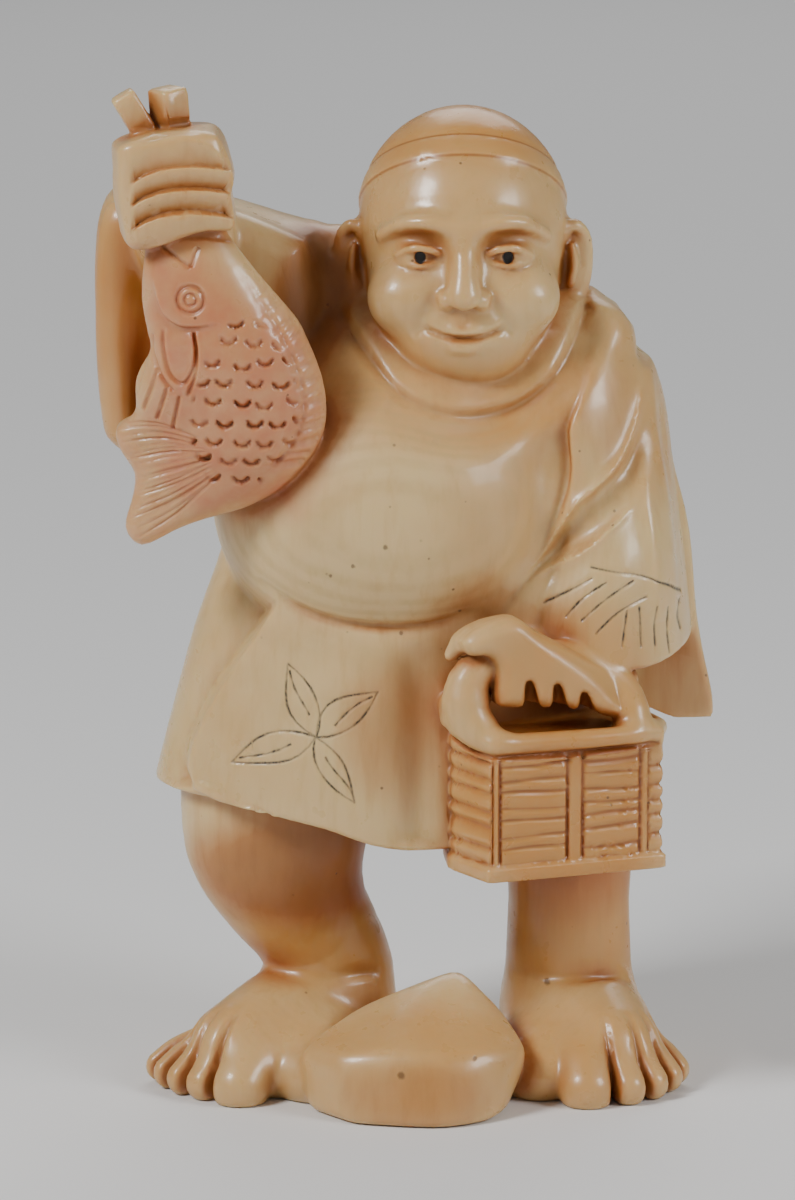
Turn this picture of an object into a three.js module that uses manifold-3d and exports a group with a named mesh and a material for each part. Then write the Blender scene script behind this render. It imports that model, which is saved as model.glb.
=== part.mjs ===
// Standing fisherman netsuke: one solid carved from a single piece of ivory.
// Millimetres. +Z up, +X to the viewer's right, the figure faces -Y.
// The origin is on the ground, below the middle of the figure's bounding box.
import * as THREE from "three";
import { ConvexGeometry } from "three/addons/geometries/ConvexGeometry.js";
import { RoundedBoxGeometry } from "three/addons/geometries/RoundedBoxGeometry.js";
import { mergeVertices } from "three/addons/utils/BufferGeometryUtils.js";
import Module from "manifold-3d";

const wasm = await Module();
wasm.setup();

const { lerp, degToRad, clamp } = THREE.MathUtils;

// Ellipsoids are given by their middle (at) and half sizes, limbs by the points and radii along them.
const head = {
  skull: { at: [3.1, -0.4, 45.3], half: [5.45, 5.8, 6.1], around: 20, rows: 12 },
  jaw: { at: [3.1, -1.5, 42.2], half: [5.2, 5.1, 4.8], around: 18, rows: 8 },
  neck: { at: [3.2, 0.3, 39.1], half: [6.3, 5.7, 3.7], around: 18, rows: 6 },
  ear: { apart: 5.7, y: 0.4, z: 42.9, half: [1.05, 1.3, 2.45], turn: 20 },
  cap: { swell: 1.03, edge: [3.1, -5, 48.9], tilt: 26 },
};

// The face is a plain calm one, laid out on thirds of the height from cap to chin.
// Its depths are measured from the front of the face.
const face = {
  front: -6.2,
  eye: { apart: 2.25, z: 44.4, depth: 0.7, half: [1.15, 0.5, 0.55] },
  brow: { x: [0.9, 2.25, 3.6], z: [45.6, 45.9, 45.3], depth: [0.35, 0.35, 1.65], radii: [0.42, 0.42, 0.25] },
  nose: { z: [44.9, 43.4, 42.3], depth: [0.5, -0.3, -0.8], radii: [0.5, 0.5, 0.85] },
  wing: { apart: 0.85, z: 42.3, depth: -0.3, half: [0.55, 0.6, 0.5] },
  mouth: { wide: 1.7, z: 40.4, corner: 40.65, part: 0.35, depth: -0.25, sink: 0.5, lip: 0.42 },
};

const trunk = {
  belly: { at: [-0.7, -1.9, 31.4], half: [9.2, 7.9, 7.3], around: 26, rows: 12 },
  chest: { at: [0.9, -0.2, 36], half: [8.6, 5.9, 6.4], around: 16, rows: 8 },
};

// Cloth sections are height, centre X, centre Y, half width and half depth.
const coat = {
  sections: [
    [41.6, 2.2, 1.7, 4.6, 4],
    [39.4, 1.8, 1.6, 7.6, 5.3],
    [36.4, 1.2, 1.5, 9.2, 6.1],
    [32, 0.4, 1.3, 9, 6.4],
    [28, -0.7, 0.8, 8.8, 6.4],
    [24, -1, 0.2, 9.7, 7.2],
    [20, -0.9, 0, 10.7, 7.7],
    [15.7, -0.7, -0.1, 11.9, 8.1],
  ],
  around: 30,
  rows: 8,
};

// The open coat's front on the figure's left, cut along its lapel. Outlines are in the front view.
const lapel = {
  layer: { at: [4.2, 0.3, 34.2], half: [9.6, 7.3, 9.4], around: 20, rows: 10 },
  edge: [[9.3, 44], [8.9, 38], [8.3, 35.3], [7.8, 31.8], [6, 26.9], [2.6, 24.6]],
  outside: [[2.6, 22], [17, 22], [17, 44]],
};

// The robe's front flap lies over the coat's skirt.
const flap = {
  sections: [
    [28.6, -1.2, 0, 8, 6.7],
    [26.4, -1.1, 0, 9.2, 7.3],
    [24, -1, 0, 10.1, 7.7],
    [20, -0.9, -0.1, 11.2, 8.1],
    [13.2, -0.6, -0.2, 12.9, 8.6],
  ],
  around: 30,
  rows: 3,
  edge: [[-6.4, 28.4], [-6.7, 26.4], [-9.9, 21.3], [-11.4, 17.2], [-11.1, 15.5]],
  hem: [[-7, 14.9], [-3, 14.1], [1.9, 13.9], [12.4, 14.4]],
  outside: [[13.5, 28.4]],
  back: -1,
};

const leftSleeve = {
  shoulder: { at: [8.1, 0.8, 38.2], half: [4.5, 5, 4.3], around: 14, rows: 6 },
  front: {
    sections: [
      [40.6, 8.6, 0.8, 2.8, 3.6],
      [38.4, 8.8, 0.4, 3.9, 5],
      [34, 9.2, 0, 4.8, 6.2],
      [29, 9.9, -0.6, 5, 6.9],
      [22.6, 10.2, -0.7, 5.4, 7.3],
    ],
    rows: 5,
    hem: [[3.4, 27.6], [5.3, 26.2], [7.3, 24.6], [8.8, 23.6], [11.2, 22.7], [13.1, 22.7], [15.6, 23.3]],
    outside: [[17, 41], [3.4, 41]],
  },
  // The back of the cuff hangs below its front.
  back: {
    sections: [
      [37, 9, 0.6, 3.6, 5],
      [30, 9.9, 0.2, 4.9, 5.8],
      [24, 10.3, 0, 5.2, 6.2],
      [18.8, 10.6, 0, 6, 6.6],
    ],
    rows: 3,
    outline: [[4, 19.6], [13, 19.5], [14.4, 18.9], [16.3, 19], [17, 24], [17, 38], [4, 38]],
    near: -0.5,
  },
  around: 20,
  mouth: { at: [10.6, -2.6, 21.6], half: [3.9, 4, 4], around: 12, rows: 6 },
  // The folds fan out from the waist to the shoulder.
  folds: [
    { points: [[8.6, -5.5, 35.6], [7.9, -6.6, 31.8], [6.4, -6.9, 28.4], [4, -7.3, 25.8]], radius: 0.8 },
    { points: [[12, -3.2, 37.6], [9.8, -6, 34.1], [7.6, -7.3, 30.4], [5.4, -7.5, 27.2]], radius: 0.75 },
    { points: [[12.6, -5.2, 31.6], [9.7, -7.2, 29.3], [7, -7.7, 27.8], [4.6, -7.6, 26.3]], radius: 0.7 },
    { points: [[12.3, -1.6, 38.4], [12.8, -3.4, 34.4], [13.2, -4.4, 29], [13.6, -4.6, 25]], radius: 0.8 },
  ],
};

const rightArm = {
  upper: { points: [[-1.5, 1.8, 40.6], [-6, 1.4, 41.8], [-12, 0.6, 43]], radii: [4, 3.3, 2.9], rows: 4 },
  fore: { points: [[-10.5, 1, 42.5], [-11.2, -3, 44.8], [-11.5, -7, 47]], radii: [3.2, 2.6, 2.3], rows: 3 },
  // The sleeve hangs from the wrist, hollowed down its front.
  drape: {
    outline: [
      [-5, 44.6], [-8.6, 46.1], [-12, 46.7], [-15.2, 46.6], [-16, 43],
      [-15.7, 36], [-14.9, 33.8], [-12, 32.8], [-8, 34.6], [-4, 38.4],
    ],
    near: -3.4,
    far: 3.7,
    bevel: 1.7,
  },
  hollow: {
    points: [[-12.7, -4.4, 45.5], [-12.9, -3.9, 40], [-12.8, -3.6, 33]],
    radii: [1, 1.6, 1.5],
    around: 8,
    rows: 3,
  },
};

const fist = {
  palm: { at: [-11.5, -7.9, 48.3], size: [5.8, 5, 5.4], turn: [0, -5, 8], round: 1.1 },
  // Four fingers lie one above the other, each higher at its middle than where it starts.
  fingers: {
    count: 4,
    top: 50.2,
    pitch: 1.3,
    x: [-13.2, -11.2, -8.9],
    y: [-9.8, -10.6, -9.8],
    rise: [-0.7, 0, -0.05],
    radii: [0.68, 0.76, 0.7],
  },
  // The cord's two ends stand up out of the hand.
  cordEnds: [
    { points: [[-12.6, -7.8, 49.6], [-14, -7.8, 52.7]], radii: [0.75, 0.7] },
    { points: [[-11.3, -7.9, 50], [-11.7, -7.9, 52.7]], radii: [0.95, 0.85] },
  ],
};

const fish = {
  body: {
    points: [
      [-10.9, -8.9, 45.8], [-10.2, -9, 42.8], [-8.6, -8.7, 39.4],
      [-7.9, -8.3, 36.8], [-9, -7.7, 34.8], [-11.2, -7, 33.8],
    ],
    radii: [1.9, 3, 3.9, 4, 3.2, 1.9],
    flat: 0.55,
    rows: 8,
  },
  tail: {
    outline: [
      [-10.6, 36.2], [-12.4, 36.4], [-14.6, 36], [-14.5, 35], [-13.4, 33.2],
      [-14.2, 30.5], [-13.6, 29.9], [-10.4, 31.4], [-8.6, 33],
    ],
    near: -7.6,
    far: -5.9,
  },
  eye: { at: [-10.9, -10.6, 42.9], half: [0.6, 0.45, 0.6], around: 8, rows: 4 },
  fin: { at: [-11.7, -10, 40.2], half: [0.75, 0.4, 1.5], around: 8, rows: 6 },
};

const hand = {
  back: {
    points: [[3.6, -8.6, 25], [6.2, -9, 25], [9, -8.6, 23.3], [11.2, -7.6, 21.8]],
    radii: [1.1, 1.6, 1.5, 1.3],
    rows: 5,
  },
  thumb: { points: [[4, -9, 25.4], [3.1, -9.3, 25], [2.7, -9.4, 24.2]], radii: [0.6, 0.5, 0.4], rows: 3 },
  // The knuckle and tip of each finger.
  fingers: [
    [[5.7, -9.8, 24], [5.6, -10.4, 22.5]],
    [[7.2, -9.6, 23.7], [7.1, -10.1, 22.3]],
    [[8.7, -9.2, 23], [8.6, -9.7, 21.9]],
    [[10.2, -8.8, 22.5], [10.2, -9.3, 21.6]],
  ],
  fingerRadius: 0.68,
};

const basket = {
  at: [7.9, -7.3, 12.6],
  turn: 20,
  width: 9.7,
  depth: 6.2,
  height: 6.8,
  rim: { height: 0.95, out: 0.05 },
  lid: { height: 2, round: 0.7, sink: 0.1 },
  posts: { count: 3, wide: 0.42, deep: 1 },
  slats: { count: 6, fill: 0.6 },
  relief: 0.22,
  handle: {
    points: [
      [3.9, -9.6, 20.6], [3.5, -9.7, 22.4], [4.5, -9.2, 24],
      [7.8, -7.9, 24.2], [11.6, -6.6, 22.6], [12.4, -6.3, 20.6],
    ],
    radii: [1.25, 1.15, 0.95, 0.8, 1, 1.2],
    around: 8,
    rows: 8,
  },
};

const legs = {
  right: {
    points: [[-6.6, 0.3, 16], [-6.8, -0.2, 12.8], [-6.1, -0.2, 9.2], [-4.5, 0.2, 6.2], [-4, 0.5, 4]],
    radii: [5.3, 5.1, 4, 3.4, 3.5],
  },
  left: { points: [[8.9, 0.6, 16], [8.8, 0.4, 9], [8.8, 0.6, 4]], radii: [3.5, 3.2, 3.5], rows: 4 },
};

// A toe is its tip's X, Y and radius, from the big toe outwards. All toes start at the root.
const feet = {
  right: {
    instep: { points: [[-4, 0.4, 2], [-6.2, -1.8, 2.4], [-9.4, -4.6, 1.2]], radii: [3.5, 3.3, 3.6] },
    root: [-5.4, -1.2],
    toes: [
      [-8.7, -7.9, 1.45], [-10.5, -7.4, 0.95], [-11.6, -6.6, 0.85], [-12.3, -5.5, 0.8], [-12.7, -4.2, 0.75],
    ],
  },
  left: {
    instep: { points: [[8.8, 0.8, 2], [9.6, -1.8, 2.4], [10.9, -4.2, 1.2]], radii: [3.6, 3.4, 3.7] },
    root: [9, -0.6],
    toes: [[9.3, -8, 1.5], [11.6, -7.9, 0.95], [12.9, -7, 0.85], [13.8, -5.9, 0.78], [14.2, -4.6, 0.72]],
  },
};

// Where a toe leaves the instep, bends and ends: how far from the root, and how high.
const toeLine = [[0.35, 4], [0.7, 2.9], [1, 0.8]];

const rock = {
  crest: [[2.5, -4, 6.3], [-2.5, -5, 4.6], [0, -8, 4.6], [5, -5, 3.8], [2.5, -1, 3]],
  shoulder: [[-5.6, -8.6, 2.7], [-3, -11, 3], [0.8, -12, 2.9], [4.6, -10.8, 3], [6.2, -8.6, 2.4]],
  base: [[-5, -9.3], [-2.7, -12.2], [0.9, -13], [2.6, -13], [5, -11.6], [6, -9.5], [5, -3], [-4, -3]],
};

// The two joined holes in the back, through which a cord would pass.
const cordHoles = {
  points: [[0.3, 10, 31.6], [0.3, 5.6, 30.2], [0.3, 4.6, 28], [0.3, 5.6, 25.8], [0.3, 10, 24.4]],
  radii: [1.5, 1.5],
  around: 10,
  rows: 8,
};

const groundSize = 80;

// A closed three.js geometry as a solid that can be joined and cut.
function toSolid(geometry, matrix = new THREE.Matrix4()) {
  const bare = geometry.clone();
  bare.deleteAttribute("normal");
  bare.deleteAttribute("uv");
  bare.applyMatrix4(matrix);
  const merged = mergeVertices(bare, 1e-4);
  return new wasm.Manifold(
    new wasm.Mesh({
      numProp: 3,
      vertProperties: merged.attributes.position.array,
      triVerts: new Uint32Array(merged.index.array),
    }),
  );
}

function placed(at, turn = [0, 0, 0], scale = [1, 1, 1]) {
  const radians = turn.map(degToRad);
  return new THREE.Matrix4().compose(
    new THREE.Vector3(...at),
    new THREE.Quaternion().setFromEuler(new THREE.Euler(...radians, "ZYX")),
    new THREE.Vector3(...scale),
  );
}

function blob({ at, half, turn, around = 8, rows = 5 }) {
  return toSolid(new THREE.SphereGeometry(1, around, rows), placed(at, turn, half));
}

// A box with rounded edges.
function block({ at, size, turn, round }) {
  return toSolid(new RoundedBoxGeometry(...size, 1, round), placed(at, turn));
}

function hull(points) {
  return toSolid(new ConvexGeometry(points.map((p) => new THREE.Vector3(...p))));
}

// A sphere drawn out along a smooth curve, with round ends.
// The radii follow the points, and flat squeezes the section from front to back.
function limb({ points, radii, flat = 1, around = 12, rows = 6, capRows = 2 }) {
  const path = new THREE.CatmullRomCurve3(points.map((p) => new THREE.Vector3(...p)));
  const total = rows + 2 * capRows;
  const geometry = new THREE.SphereGeometry(1, around, total);
  const position = geometry.attributes.position;
  for (let i = 0; i < position.count; i++) {
    const row = Math.floor(i / (around + 1));
    const angle = ((i % (around + 1)) / around) * 2 * Math.PI;
    const t = clamp((row - capRows) / rows, 0, 1);
    const radius = alongList(radii, t);
    const capTurn = (Math.min(row, total - row, capRows) / capRows) * (Math.PI / 2);
    const outwards = row < capRows ? -1 : 1;
    const tangent = path.getTangent(t);
    const depth = new THREE.Vector3(0, 1, 0);
    depth.addScaledVector(tangent, -depth.dot(tangent)).normalize();
    const side = new THREE.Vector3().crossVectors(depth, tangent);
    const point = path.getPoint(t);
    point.addScaledVector(tangent, outwards * radius * Math.cos(capTurn));
    point.addScaledVector(side, radius * Math.sin(capTurn) * Math.cos(angle));
    point.addScaledVector(depth, radius * Math.sin(capTurn) * Math.sin(angle) * flat);
    position.setXYZ(i, point.x, point.y, point.z);
  }
  return outwardSolid(geometry);
}

// The value at a share t of the way along a list, on straight lines between its entries.
function alongList(values, t) {
  const spans = values.length - 1;
  const span = Math.min(Math.floor(t * spans), spans - 1);
  return lerp(values[span], values[span + 1], t * spans - span);
}

function outwardSolid(geometry) {
  const solid = toSolid(geometry);
  if (solid.volume() > 0) {
    return solid;
  }
  const index = geometry.index.array;
  for (let i = 0; i < index.length; i += 3) {
    [index[i], index[i + 1]] = [index[i + 1], index[i]];
  }
  return toSolid(geometry);
}

// A closed stack of oval cloth sections, blended along smooth curves.
function stack({ sections, around, rows }) {
  const geometry = new THREE.CylinderGeometry(1, 1, 1, around, rows);
  const position = geometry.attributes.position;
  const curves = sections[0].map((_, column) => new THREE.SplineCurve(
    sections.map((section, i) => new THREE.Vector2(i, section[column])),
  ));
  for (let i = 0; i < position.count; i++) {
    const down = 0.5 - position.getY(i);
    const [z, x, y, halfWidth, halfDepth] = curves.map((curve) => curve.getPoint(down).y);
    position.setXYZ(i, x + halfWidth * position.getX(i), y - halfDepth * position.getZ(i), z);
  }
  return outwardSolid(geometry);
}

// A slab whose outline lies in the front view, running from one depth to the other.
function panel(outline, near = -groundSize, far = groundSize, bevel = 0) {
  const shape = new THREE.Shape(outline.map(([x, z]) => new THREE.Vector2(x, z)));
  const geometry = new THREE.ExtrudeGeometry(shape, {
    depth: far - near - 2 * bevel,
    bevelEnabled: bevel > 0,
    bevelThickness: bevel,
    bevelSize: bevel,
    bevelOffset: -bevel,
    bevelSegments: 2,
  });
  geometry.rotateX(Math.PI / 2);
  return toSolid(geometry.translate(0, far - bevel, 0));
}

// Points of a smooth curve through a few given ones.
function smooth(points, divisions) {
  const curve = new THREE.SplineCurve(points.map(([x, z]) => new THREE.Vector2(x, z)));
  return curve.getPoints(divisions).map((p) => [p.x, p.y]);
}

function joined(solids) {
  return wasm.Manifold.union(solids);
}

function headSolid() {
  const { skull, jaw, neck, ear, cap } = head;
  const ears = [-1, 1].map((side) => blob({
    at: [skull.at[0] + side * ear.apart, ear.y, ear.z],
    half: ear.half,
    turn: [0, 0, side * ear.turn],
    rows: 6,
  }));
  const belowCap = new THREE.BoxGeometry(groundSize, groundSize, groundSize).translate(0, 0, -groundSize / 2);
  const capSolid = blob({ ...skull, half: skull.half.map((size) => size * cap.swell) })
    .subtract(toSolid(belowCap, placed(cap.edge, [cap.tilt, 0, 0])));
  return joined([blob(skull), blob(jaw), blob(neck), capSolid, ...ears, ...faceSolids()]);
}

function faceSolids() {
  const { front, eye, brow, nose, wing, mouth } = face;
  const middle = head.skull.at[0];
  const paired = [-1, 1].flatMap((side) => [
    blob({ at: [middle + side * eye.apart, front + eye.depth, eye.z], half: eye.half }),
    blob({ at: [middle + side * wing.apart, front + wing.depth, wing.z], half: wing.half, rows: 4 }),
    limb({
      points: brow.x.map((x, i) => [middle + side * x, front + brow.depth[i], brow.z[i]]),
      radii: brow.radii, around: 6, rows: 4, capRows: 1,
    }),
  ]);
  const ridge = limb({
    points: nose.z.map((z, i) => [middle, front + nose.depth[i], z]), radii: nose.radii, around: 7, rows: 2,
  });
  const lips = [-1, 1].map((side) => limb({
    points: [
      [middle - mouth.wide, front + mouth.sink, mouth.corner],
      [middle, front + mouth.depth, mouth.z + side * mouth.part],
      [middle + mouth.wide, front + mouth.sink, mouth.corner],
    ],
    radii: [mouth.lip / 2, mouth.lip, mouth.lip / 2], around: 6, rows: 4, capRows: 1,
  }));
  const betweenLips = blob({
    at: [middle, front + mouth.sink / 2, mouth.z],
    half: [mouth.wide * 0.9, mouth.sink, mouth.lip],
    rows: 4,
  });
  return [...paired, ridge, ...lips, betweenLips];
}

function clothSolid() {
  const front = blob(lapel.layer).intersect(panel([...smooth(lapel.edge, 10), ...lapel.outside]));
  const flapOutline = [...smooth(flap.edge, 8), ...smooth(flap.hem, 6), ...flap.outside];
  return joined([
    stack(coat),
    front,
    stack(flap).intersect(panel(flapOutline, -groundSize, flap.back)),
  ]);
}

// The lowered left arm's wide sleeve, with its folds and open mouth.
function leftSleeveSolid() {
  const { shoulder, front, back, around, mouth, folds } = leftSleeve;
  const overArm = stack({ ...front, around }).intersect(panel([...smooth(front.hem, 8), ...front.outside]));
  const behindArm = stack({ ...back, around }).intersect(panel(back.outline, back.near));
  const ridges = folds.map(({ points, radius }) => limb({
    points, radii: [radius / 2, radius, radius, radius / 2], around: 6, rows: 4, capRows: 1,
  }));
  return joined([blob(shoulder), joined([overArm, behindArm]).subtract(blob(mouth)), ...ridges]);
}

// The raised right arm, its hanging sleeve, and the fist around the cord.
function rightArmSolid() {
  const { upper, fore, drape, hollow } = rightArm;
  const { count, top, pitch, x, y, rise, radii } = fist.fingers;
  const sleeve = panel(smooth(drape.outline, 16), drape.near, drape.far, drape.bevel).subtract(limb(hollow));
  const fingers = Array.from({ length: count }, (_, i) => limb({
    points: rise.map((up, k) => [x[k], y[k], top - pitch * i + up]), radii, around: 7, rows: 3, capRows: 1,
  }));
  const ends = fist.cordEnds.map((end) => limb({ ...end, around: 7, rows: 1, capRows: 1 }));
  return joined([limb(upper), sleeve, limb(fore), block(fist.palm), ...fingers, ...ends]);
}

function fishSolid() {
  const { body, tail, eye, fin } = fish;
  return joined([limb(body), panel(tail.outline, tail.near, tail.far), blob(eye), blob(fin)]);
}

function handSolid() {
  const { back, thumb, fingers, fingerRadius } = hand;
  return joined([
    limb(back),
    limb({ ...thumb, around: 8 }),
    ...fingers.map((points) => limb({ points, radii: [fingerRadius, fingerRadius], around: 8, rows: 1 })),
  ]);
}

// A box with rim, posts and slats standing out from its walls, a rounded lid and a loop handle.
function basketSolid() {
  const { at, turn, width, depth, height, rim, lid, posts, slats, relief, handle } = basket;
  const place = placed(at, [0, 0, turn]);
  const bar = (x, y, z, sizeX, sizeY, sizeZ) =>
    toSolid(new THREE.BoxGeometry(sizeX, sizeY, sizeZ).translate(x, y, z), place);
  const pitch = (height - rim.height) / slats.count;
  const slatBars = Array.from({ length: slats.count }, (_, i) =>
    bar(0, 0, rim.height + (i + 0.5) * pitch, width - relief, depth - relief, pitch * slats.fill),
  );
  const postBars = Array.from({ length: posts.count }, (_, i) =>
    bar((i / (posts.count - 1) - 0.5) * (width - posts.wide), (posts.deep - depth) / 2, height / 2,
      posts.wide, posts.deep, height),
  );
  const cover = new RoundedBoxGeometry(width, depth, lid.height, 1, lid.round);
  cover.translate(0, 0, height + lid.height / 2 - lid.sink);
  return joined([
    bar(0, 0, height / 2, width - 2 * relief, depth - 2 * relief, height),
    bar(0, 0, rim.height / 2, width + 2 * rim.out, depth + 2 * rim.out, rim.height),
    ...slatBars,
    ...postBars,
    toSolid(cover, place),
    limb(handle),
  ]);
}

function footSolid({ instep, root, toes }) {
  const toeSolids = toes.map(([x, y, radius]) => limb({
    points: toeLine.map(([share, z]) => [lerp(root[0], x, share), lerp(root[1], y, share), z]),
    radii: [radius * 0.8, radius, radius], around: 7, rows: 2,
  }));
  return joined([limb({ ...instep, around: 14, rows: 3 }), ...toeSolids]);
}

function rockSolid() {
  return hull([...rock.crest, ...rock.shoulder, ...rock.base.map(([x, y]) => [x, y, 0])]);
}

// Everything joined, cut flat on the ground, drilled, and centred over the origin.
function figureSolid() {
  const ground = new THREE.BoxGeometry(groundSize, groundSize, groundSize).translate(0, 0, -groundSize / 2);
  const carved = joined([
    headSolid(), blob(trunk.belly), blob(trunk.chest), clothSolid(), leftSleeveSolid(), rightArmSolid(),
    fishSolid(), handSolid(), basketSolid(), limb(legs.right), limb(legs.left),
    footSolid(feet.right), footSolid(feet.left), rockSolid(),
  ]).subtract(joined([toSolid(ground), limb(cordHoles)]));
  const { min, max } = carved.boundingBox();
  return carved.translate([-(min[0] + max[0]) / 2, -(min[1] + max[1]) / 2, 0]);
}

function asMesh(name, solid, material) {
  const { numProp, numVert, vertProperties, triVerts } = solid.getMesh();
  const position = new Float32Array(numVert * 3);
  for (let i = 0; i < numVert; i++) {
    position.set(vertProperties.subarray(i * numProp, i * numProp + 3), i * 3);
  }
  const geometry = new THREE.BufferGeometry();
  geometry.setAttribute("position", new THREE.BufferAttribute(position, 3));
  geometry.setIndex(new THREE.BufferAttribute(new Uint32Array(triVerts), 1));
  geometry.computeVertexNormals();
  const mesh = new THREE.Mesh(geometry, material);
  mesh.name = name;
  return mesh;
}

const ivory = new THREE.MeshStandardMaterial({ color: 0xd9c39a, roughness: 0.35, metalness: 0 });
const netsuke = new THREE.Group();
netsuke.add(asMesh("figure", figureSolid(), ivory));
export default netsuke;
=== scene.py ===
# Ivory netsuke of a standing fisherman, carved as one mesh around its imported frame.
import math

import bmesh
import bpy
import numpy as np
import openvdb
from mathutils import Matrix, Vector


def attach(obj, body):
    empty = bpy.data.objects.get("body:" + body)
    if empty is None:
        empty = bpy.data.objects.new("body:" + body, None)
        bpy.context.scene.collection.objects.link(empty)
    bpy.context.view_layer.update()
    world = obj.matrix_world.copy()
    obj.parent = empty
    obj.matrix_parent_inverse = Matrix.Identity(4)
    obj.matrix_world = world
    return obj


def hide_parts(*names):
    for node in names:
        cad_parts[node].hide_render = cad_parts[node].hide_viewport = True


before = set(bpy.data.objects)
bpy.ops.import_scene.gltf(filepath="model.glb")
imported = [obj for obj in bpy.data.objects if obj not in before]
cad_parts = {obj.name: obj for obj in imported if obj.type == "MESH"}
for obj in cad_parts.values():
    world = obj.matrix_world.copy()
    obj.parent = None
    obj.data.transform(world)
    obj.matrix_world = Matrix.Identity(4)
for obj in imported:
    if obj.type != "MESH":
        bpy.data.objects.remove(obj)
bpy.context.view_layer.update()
print("frame loaded")

# All values below are millimetres in the carver's drawing: +Z up, the figure faces -Y.
drawing = {
    "middle": (0.209, -2.5, 0),    # the drawing's point that lies over the frame's origin
    "low": (-17.0, -14.0, -1.0),   # corners of the block that is carved
    "high": (17.4, 9.0, 54.6),
    "step": 0.14,                  # spacing of the block's grid of distances
    "far": 4.0,                    # distance noted where nothing is near
    "margin": 1.6,                 # how far round a shape its distances are worked out
}


def rising(value, width):
    # from nought to one while a value goes from nought to a width
    return np.clip(value / width, 0, 1)


def softMin(a, b, blend):
    h = np.maximum(blend - np.abs(a - b), 0) / blend
    return np.minimum(a, b) - h * h * blend / 4


def turned(x, y, z, at, turn):
    # coordinates in a frame at a point, turned by degrees about X, then Y, then Z
    x, y, z = x - at[0], y - at[1], z - at[2]
    if not any(turn):
        return x, y, z
    (cx, sx), (cy, sy), (cz, sz) = [(math.cos(math.radians(t)), math.sin(math.radians(t))) for t in turn]
    x, y = cz * x + sz * y, cz * y - sz * x
    x, z = cy * x - sy * z, cy * z + sy * x
    y, z = cx * y + sx * z, cx * z - sx * y
    return x, y, z


def smoothLine(points, perSpan=6):
    # points of a smooth curve through the given ones
    p = np.array(points, float)
    p = np.vstack([2 * p[0] - p[1], p, 2 * p[-1] - p[-2]])
    t = np.arange(perSpan)[:, None] / perSpan
    rows = []
    for a, b, c, d in zip(p[:-3], p[1:-2], p[2:-1], p[3:]):
        rows.append(b + 0.5 * t * (c - a + t * (2 * a - 5 * b + 4 * c - d + t * (3 * b - a - 3 * c + d))))
    return np.vstack(rows + [p[-2:-1]])


def closedLine(points):
    return smoothLine(points + points[:1], 3)


def spread(values, count):
    # values given at equal spans, on straight lines between them, at count places
    return np.interp(np.linspace(0, len(values) - 1, count), np.arange(len(values)), values)


# A shape is its lowest corner, its highest corner and a function that gives distances.
def blob(at, half, turn=(0, 0, 0)):
    a, b, c = half

    def distance(x, y, z):
        x, y, z = turned(x, y, z, at, turn)
        reach = np.sqrt((x / a) ** 2 + (y / b) ** 2 + (z / c) ** 2)
        slope = np.sqrt((x / a ** 2) ** 2 + (y / b ** 2) ** 2 + (z / c ** 2) ** 2) + 1e-6
        return reach * (reach - 1) / slope
    widest = [max(half)] * 3 if any(turn) else half
    return np.subtract(at, widest), np.add(at, widest), distance


def block(at, size, turn, soft):
    def distance(x, y, z):
        qx, qy, qz = [abs(v) - s / 2 + soft for v, s in zip(turned(x, y, z, at, turn), size)]
        outside = np.sqrt(np.maximum(qx, 0) ** 2 + np.maximum(qy, 0) ** 2 + np.maximum(qz, 0) ** 2)
        return outside + np.minimum(np.maximum(np.maximum(qx, qy), qz), 0) - soft
    reach = math.sqrt(sum(s * s for s in size)) / 2
    return np.subtract(at, reach), np.add(at, reach), distance


def limb(points, radii, flat=1.0, perSpan=4):
    line = smoothLine(points, perSpan)
    widths = spread(radii, len(line))

    def distance(x, y, z):
        best = None
        for a, b, ra, rb in zip(line[:-1], line[1:], widths[:-1], widths[1:]):
            d = b - a
            px, py, pz = x - a[0], (y - a[1]) / flat, z - a[2]
            ey = d[1] / flat
            t = np.clip((px * d[0] + py * ey + pz * d[2]) / (d[0] ** 2 + ey ** 2 + d[2] ** 2), 0, 1)
            px, py, pz = px - t * d[0], py - t * ey, pz - t * d[2]
            away = np.sqrt(px ** 2 + py ** 2 + pz ** 2) + 1e-6
            slope = np.sqrt(px ** 2 + (py / flat) ** 2 + pz ** 2) / away if flat != 1 else 1.0
            here = (away - ra - t * (rb - ra)) / slope
            best = here if best is None else np.minimum(best, here)
        return best
    return line.min(0) - max(radii), line.max(0) + max(radii), distance


def stack(sections, soft=0.3):
    # oval cloth sections: height, centre X, centre Y, half width, half depth
    rows = smoothLine(sections, 12)[::-1]

    def distance(x, y, z):
        cx, cy, a, b = [np.interp(z, rows[:, 0], rows[:, i]).astype(np.float32) for i in range(1, 5)]
        x, y = x - cx, y - cy
        reach = np.sqrt((x / a) ** 2 + (y / b) ** 2)
        slope = np.sqrt((x / a ** 2) ** 2 + (y / b ** 2) ** 2) + 1e-6
        ends = np.maximum(z - rows[-1, 0], rows[0, 0] - z)
        return -softMin(-reach * (reach - 1) / slope, -ends, soft)
    low = [*(rows[:, 1:3] - rows[:, 3:5]).min(0), rows[0, 0]]
    high = [*(rows[:, 1:3] + rows[:, 3:5]).max(0), rows[-1, 0]]
    return low, high, distance


def hull(points, soft):
    # the rounded convex hull of a few points
    bm = bmesh.new()
    for p in points:
        bm.verts.new(p)
    bmesh.ops.convex_hull(bm, input=bm.verts)
    bm.normal_update()
    planes = [(f.normal.copy(), f.normal.dot(f.verts[0].co)) for f in bm.faces]
    bm.free()

    def distance(x, y, z):
        best = None
        for n, offset in planes:
            here = n.x * x + n.y * y + n.z * z - offset
            best = here if best is None else -softMin(-best, -here, soft)
        return best
    return np.min(points, 0), np.max(points, 0), distance


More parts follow.
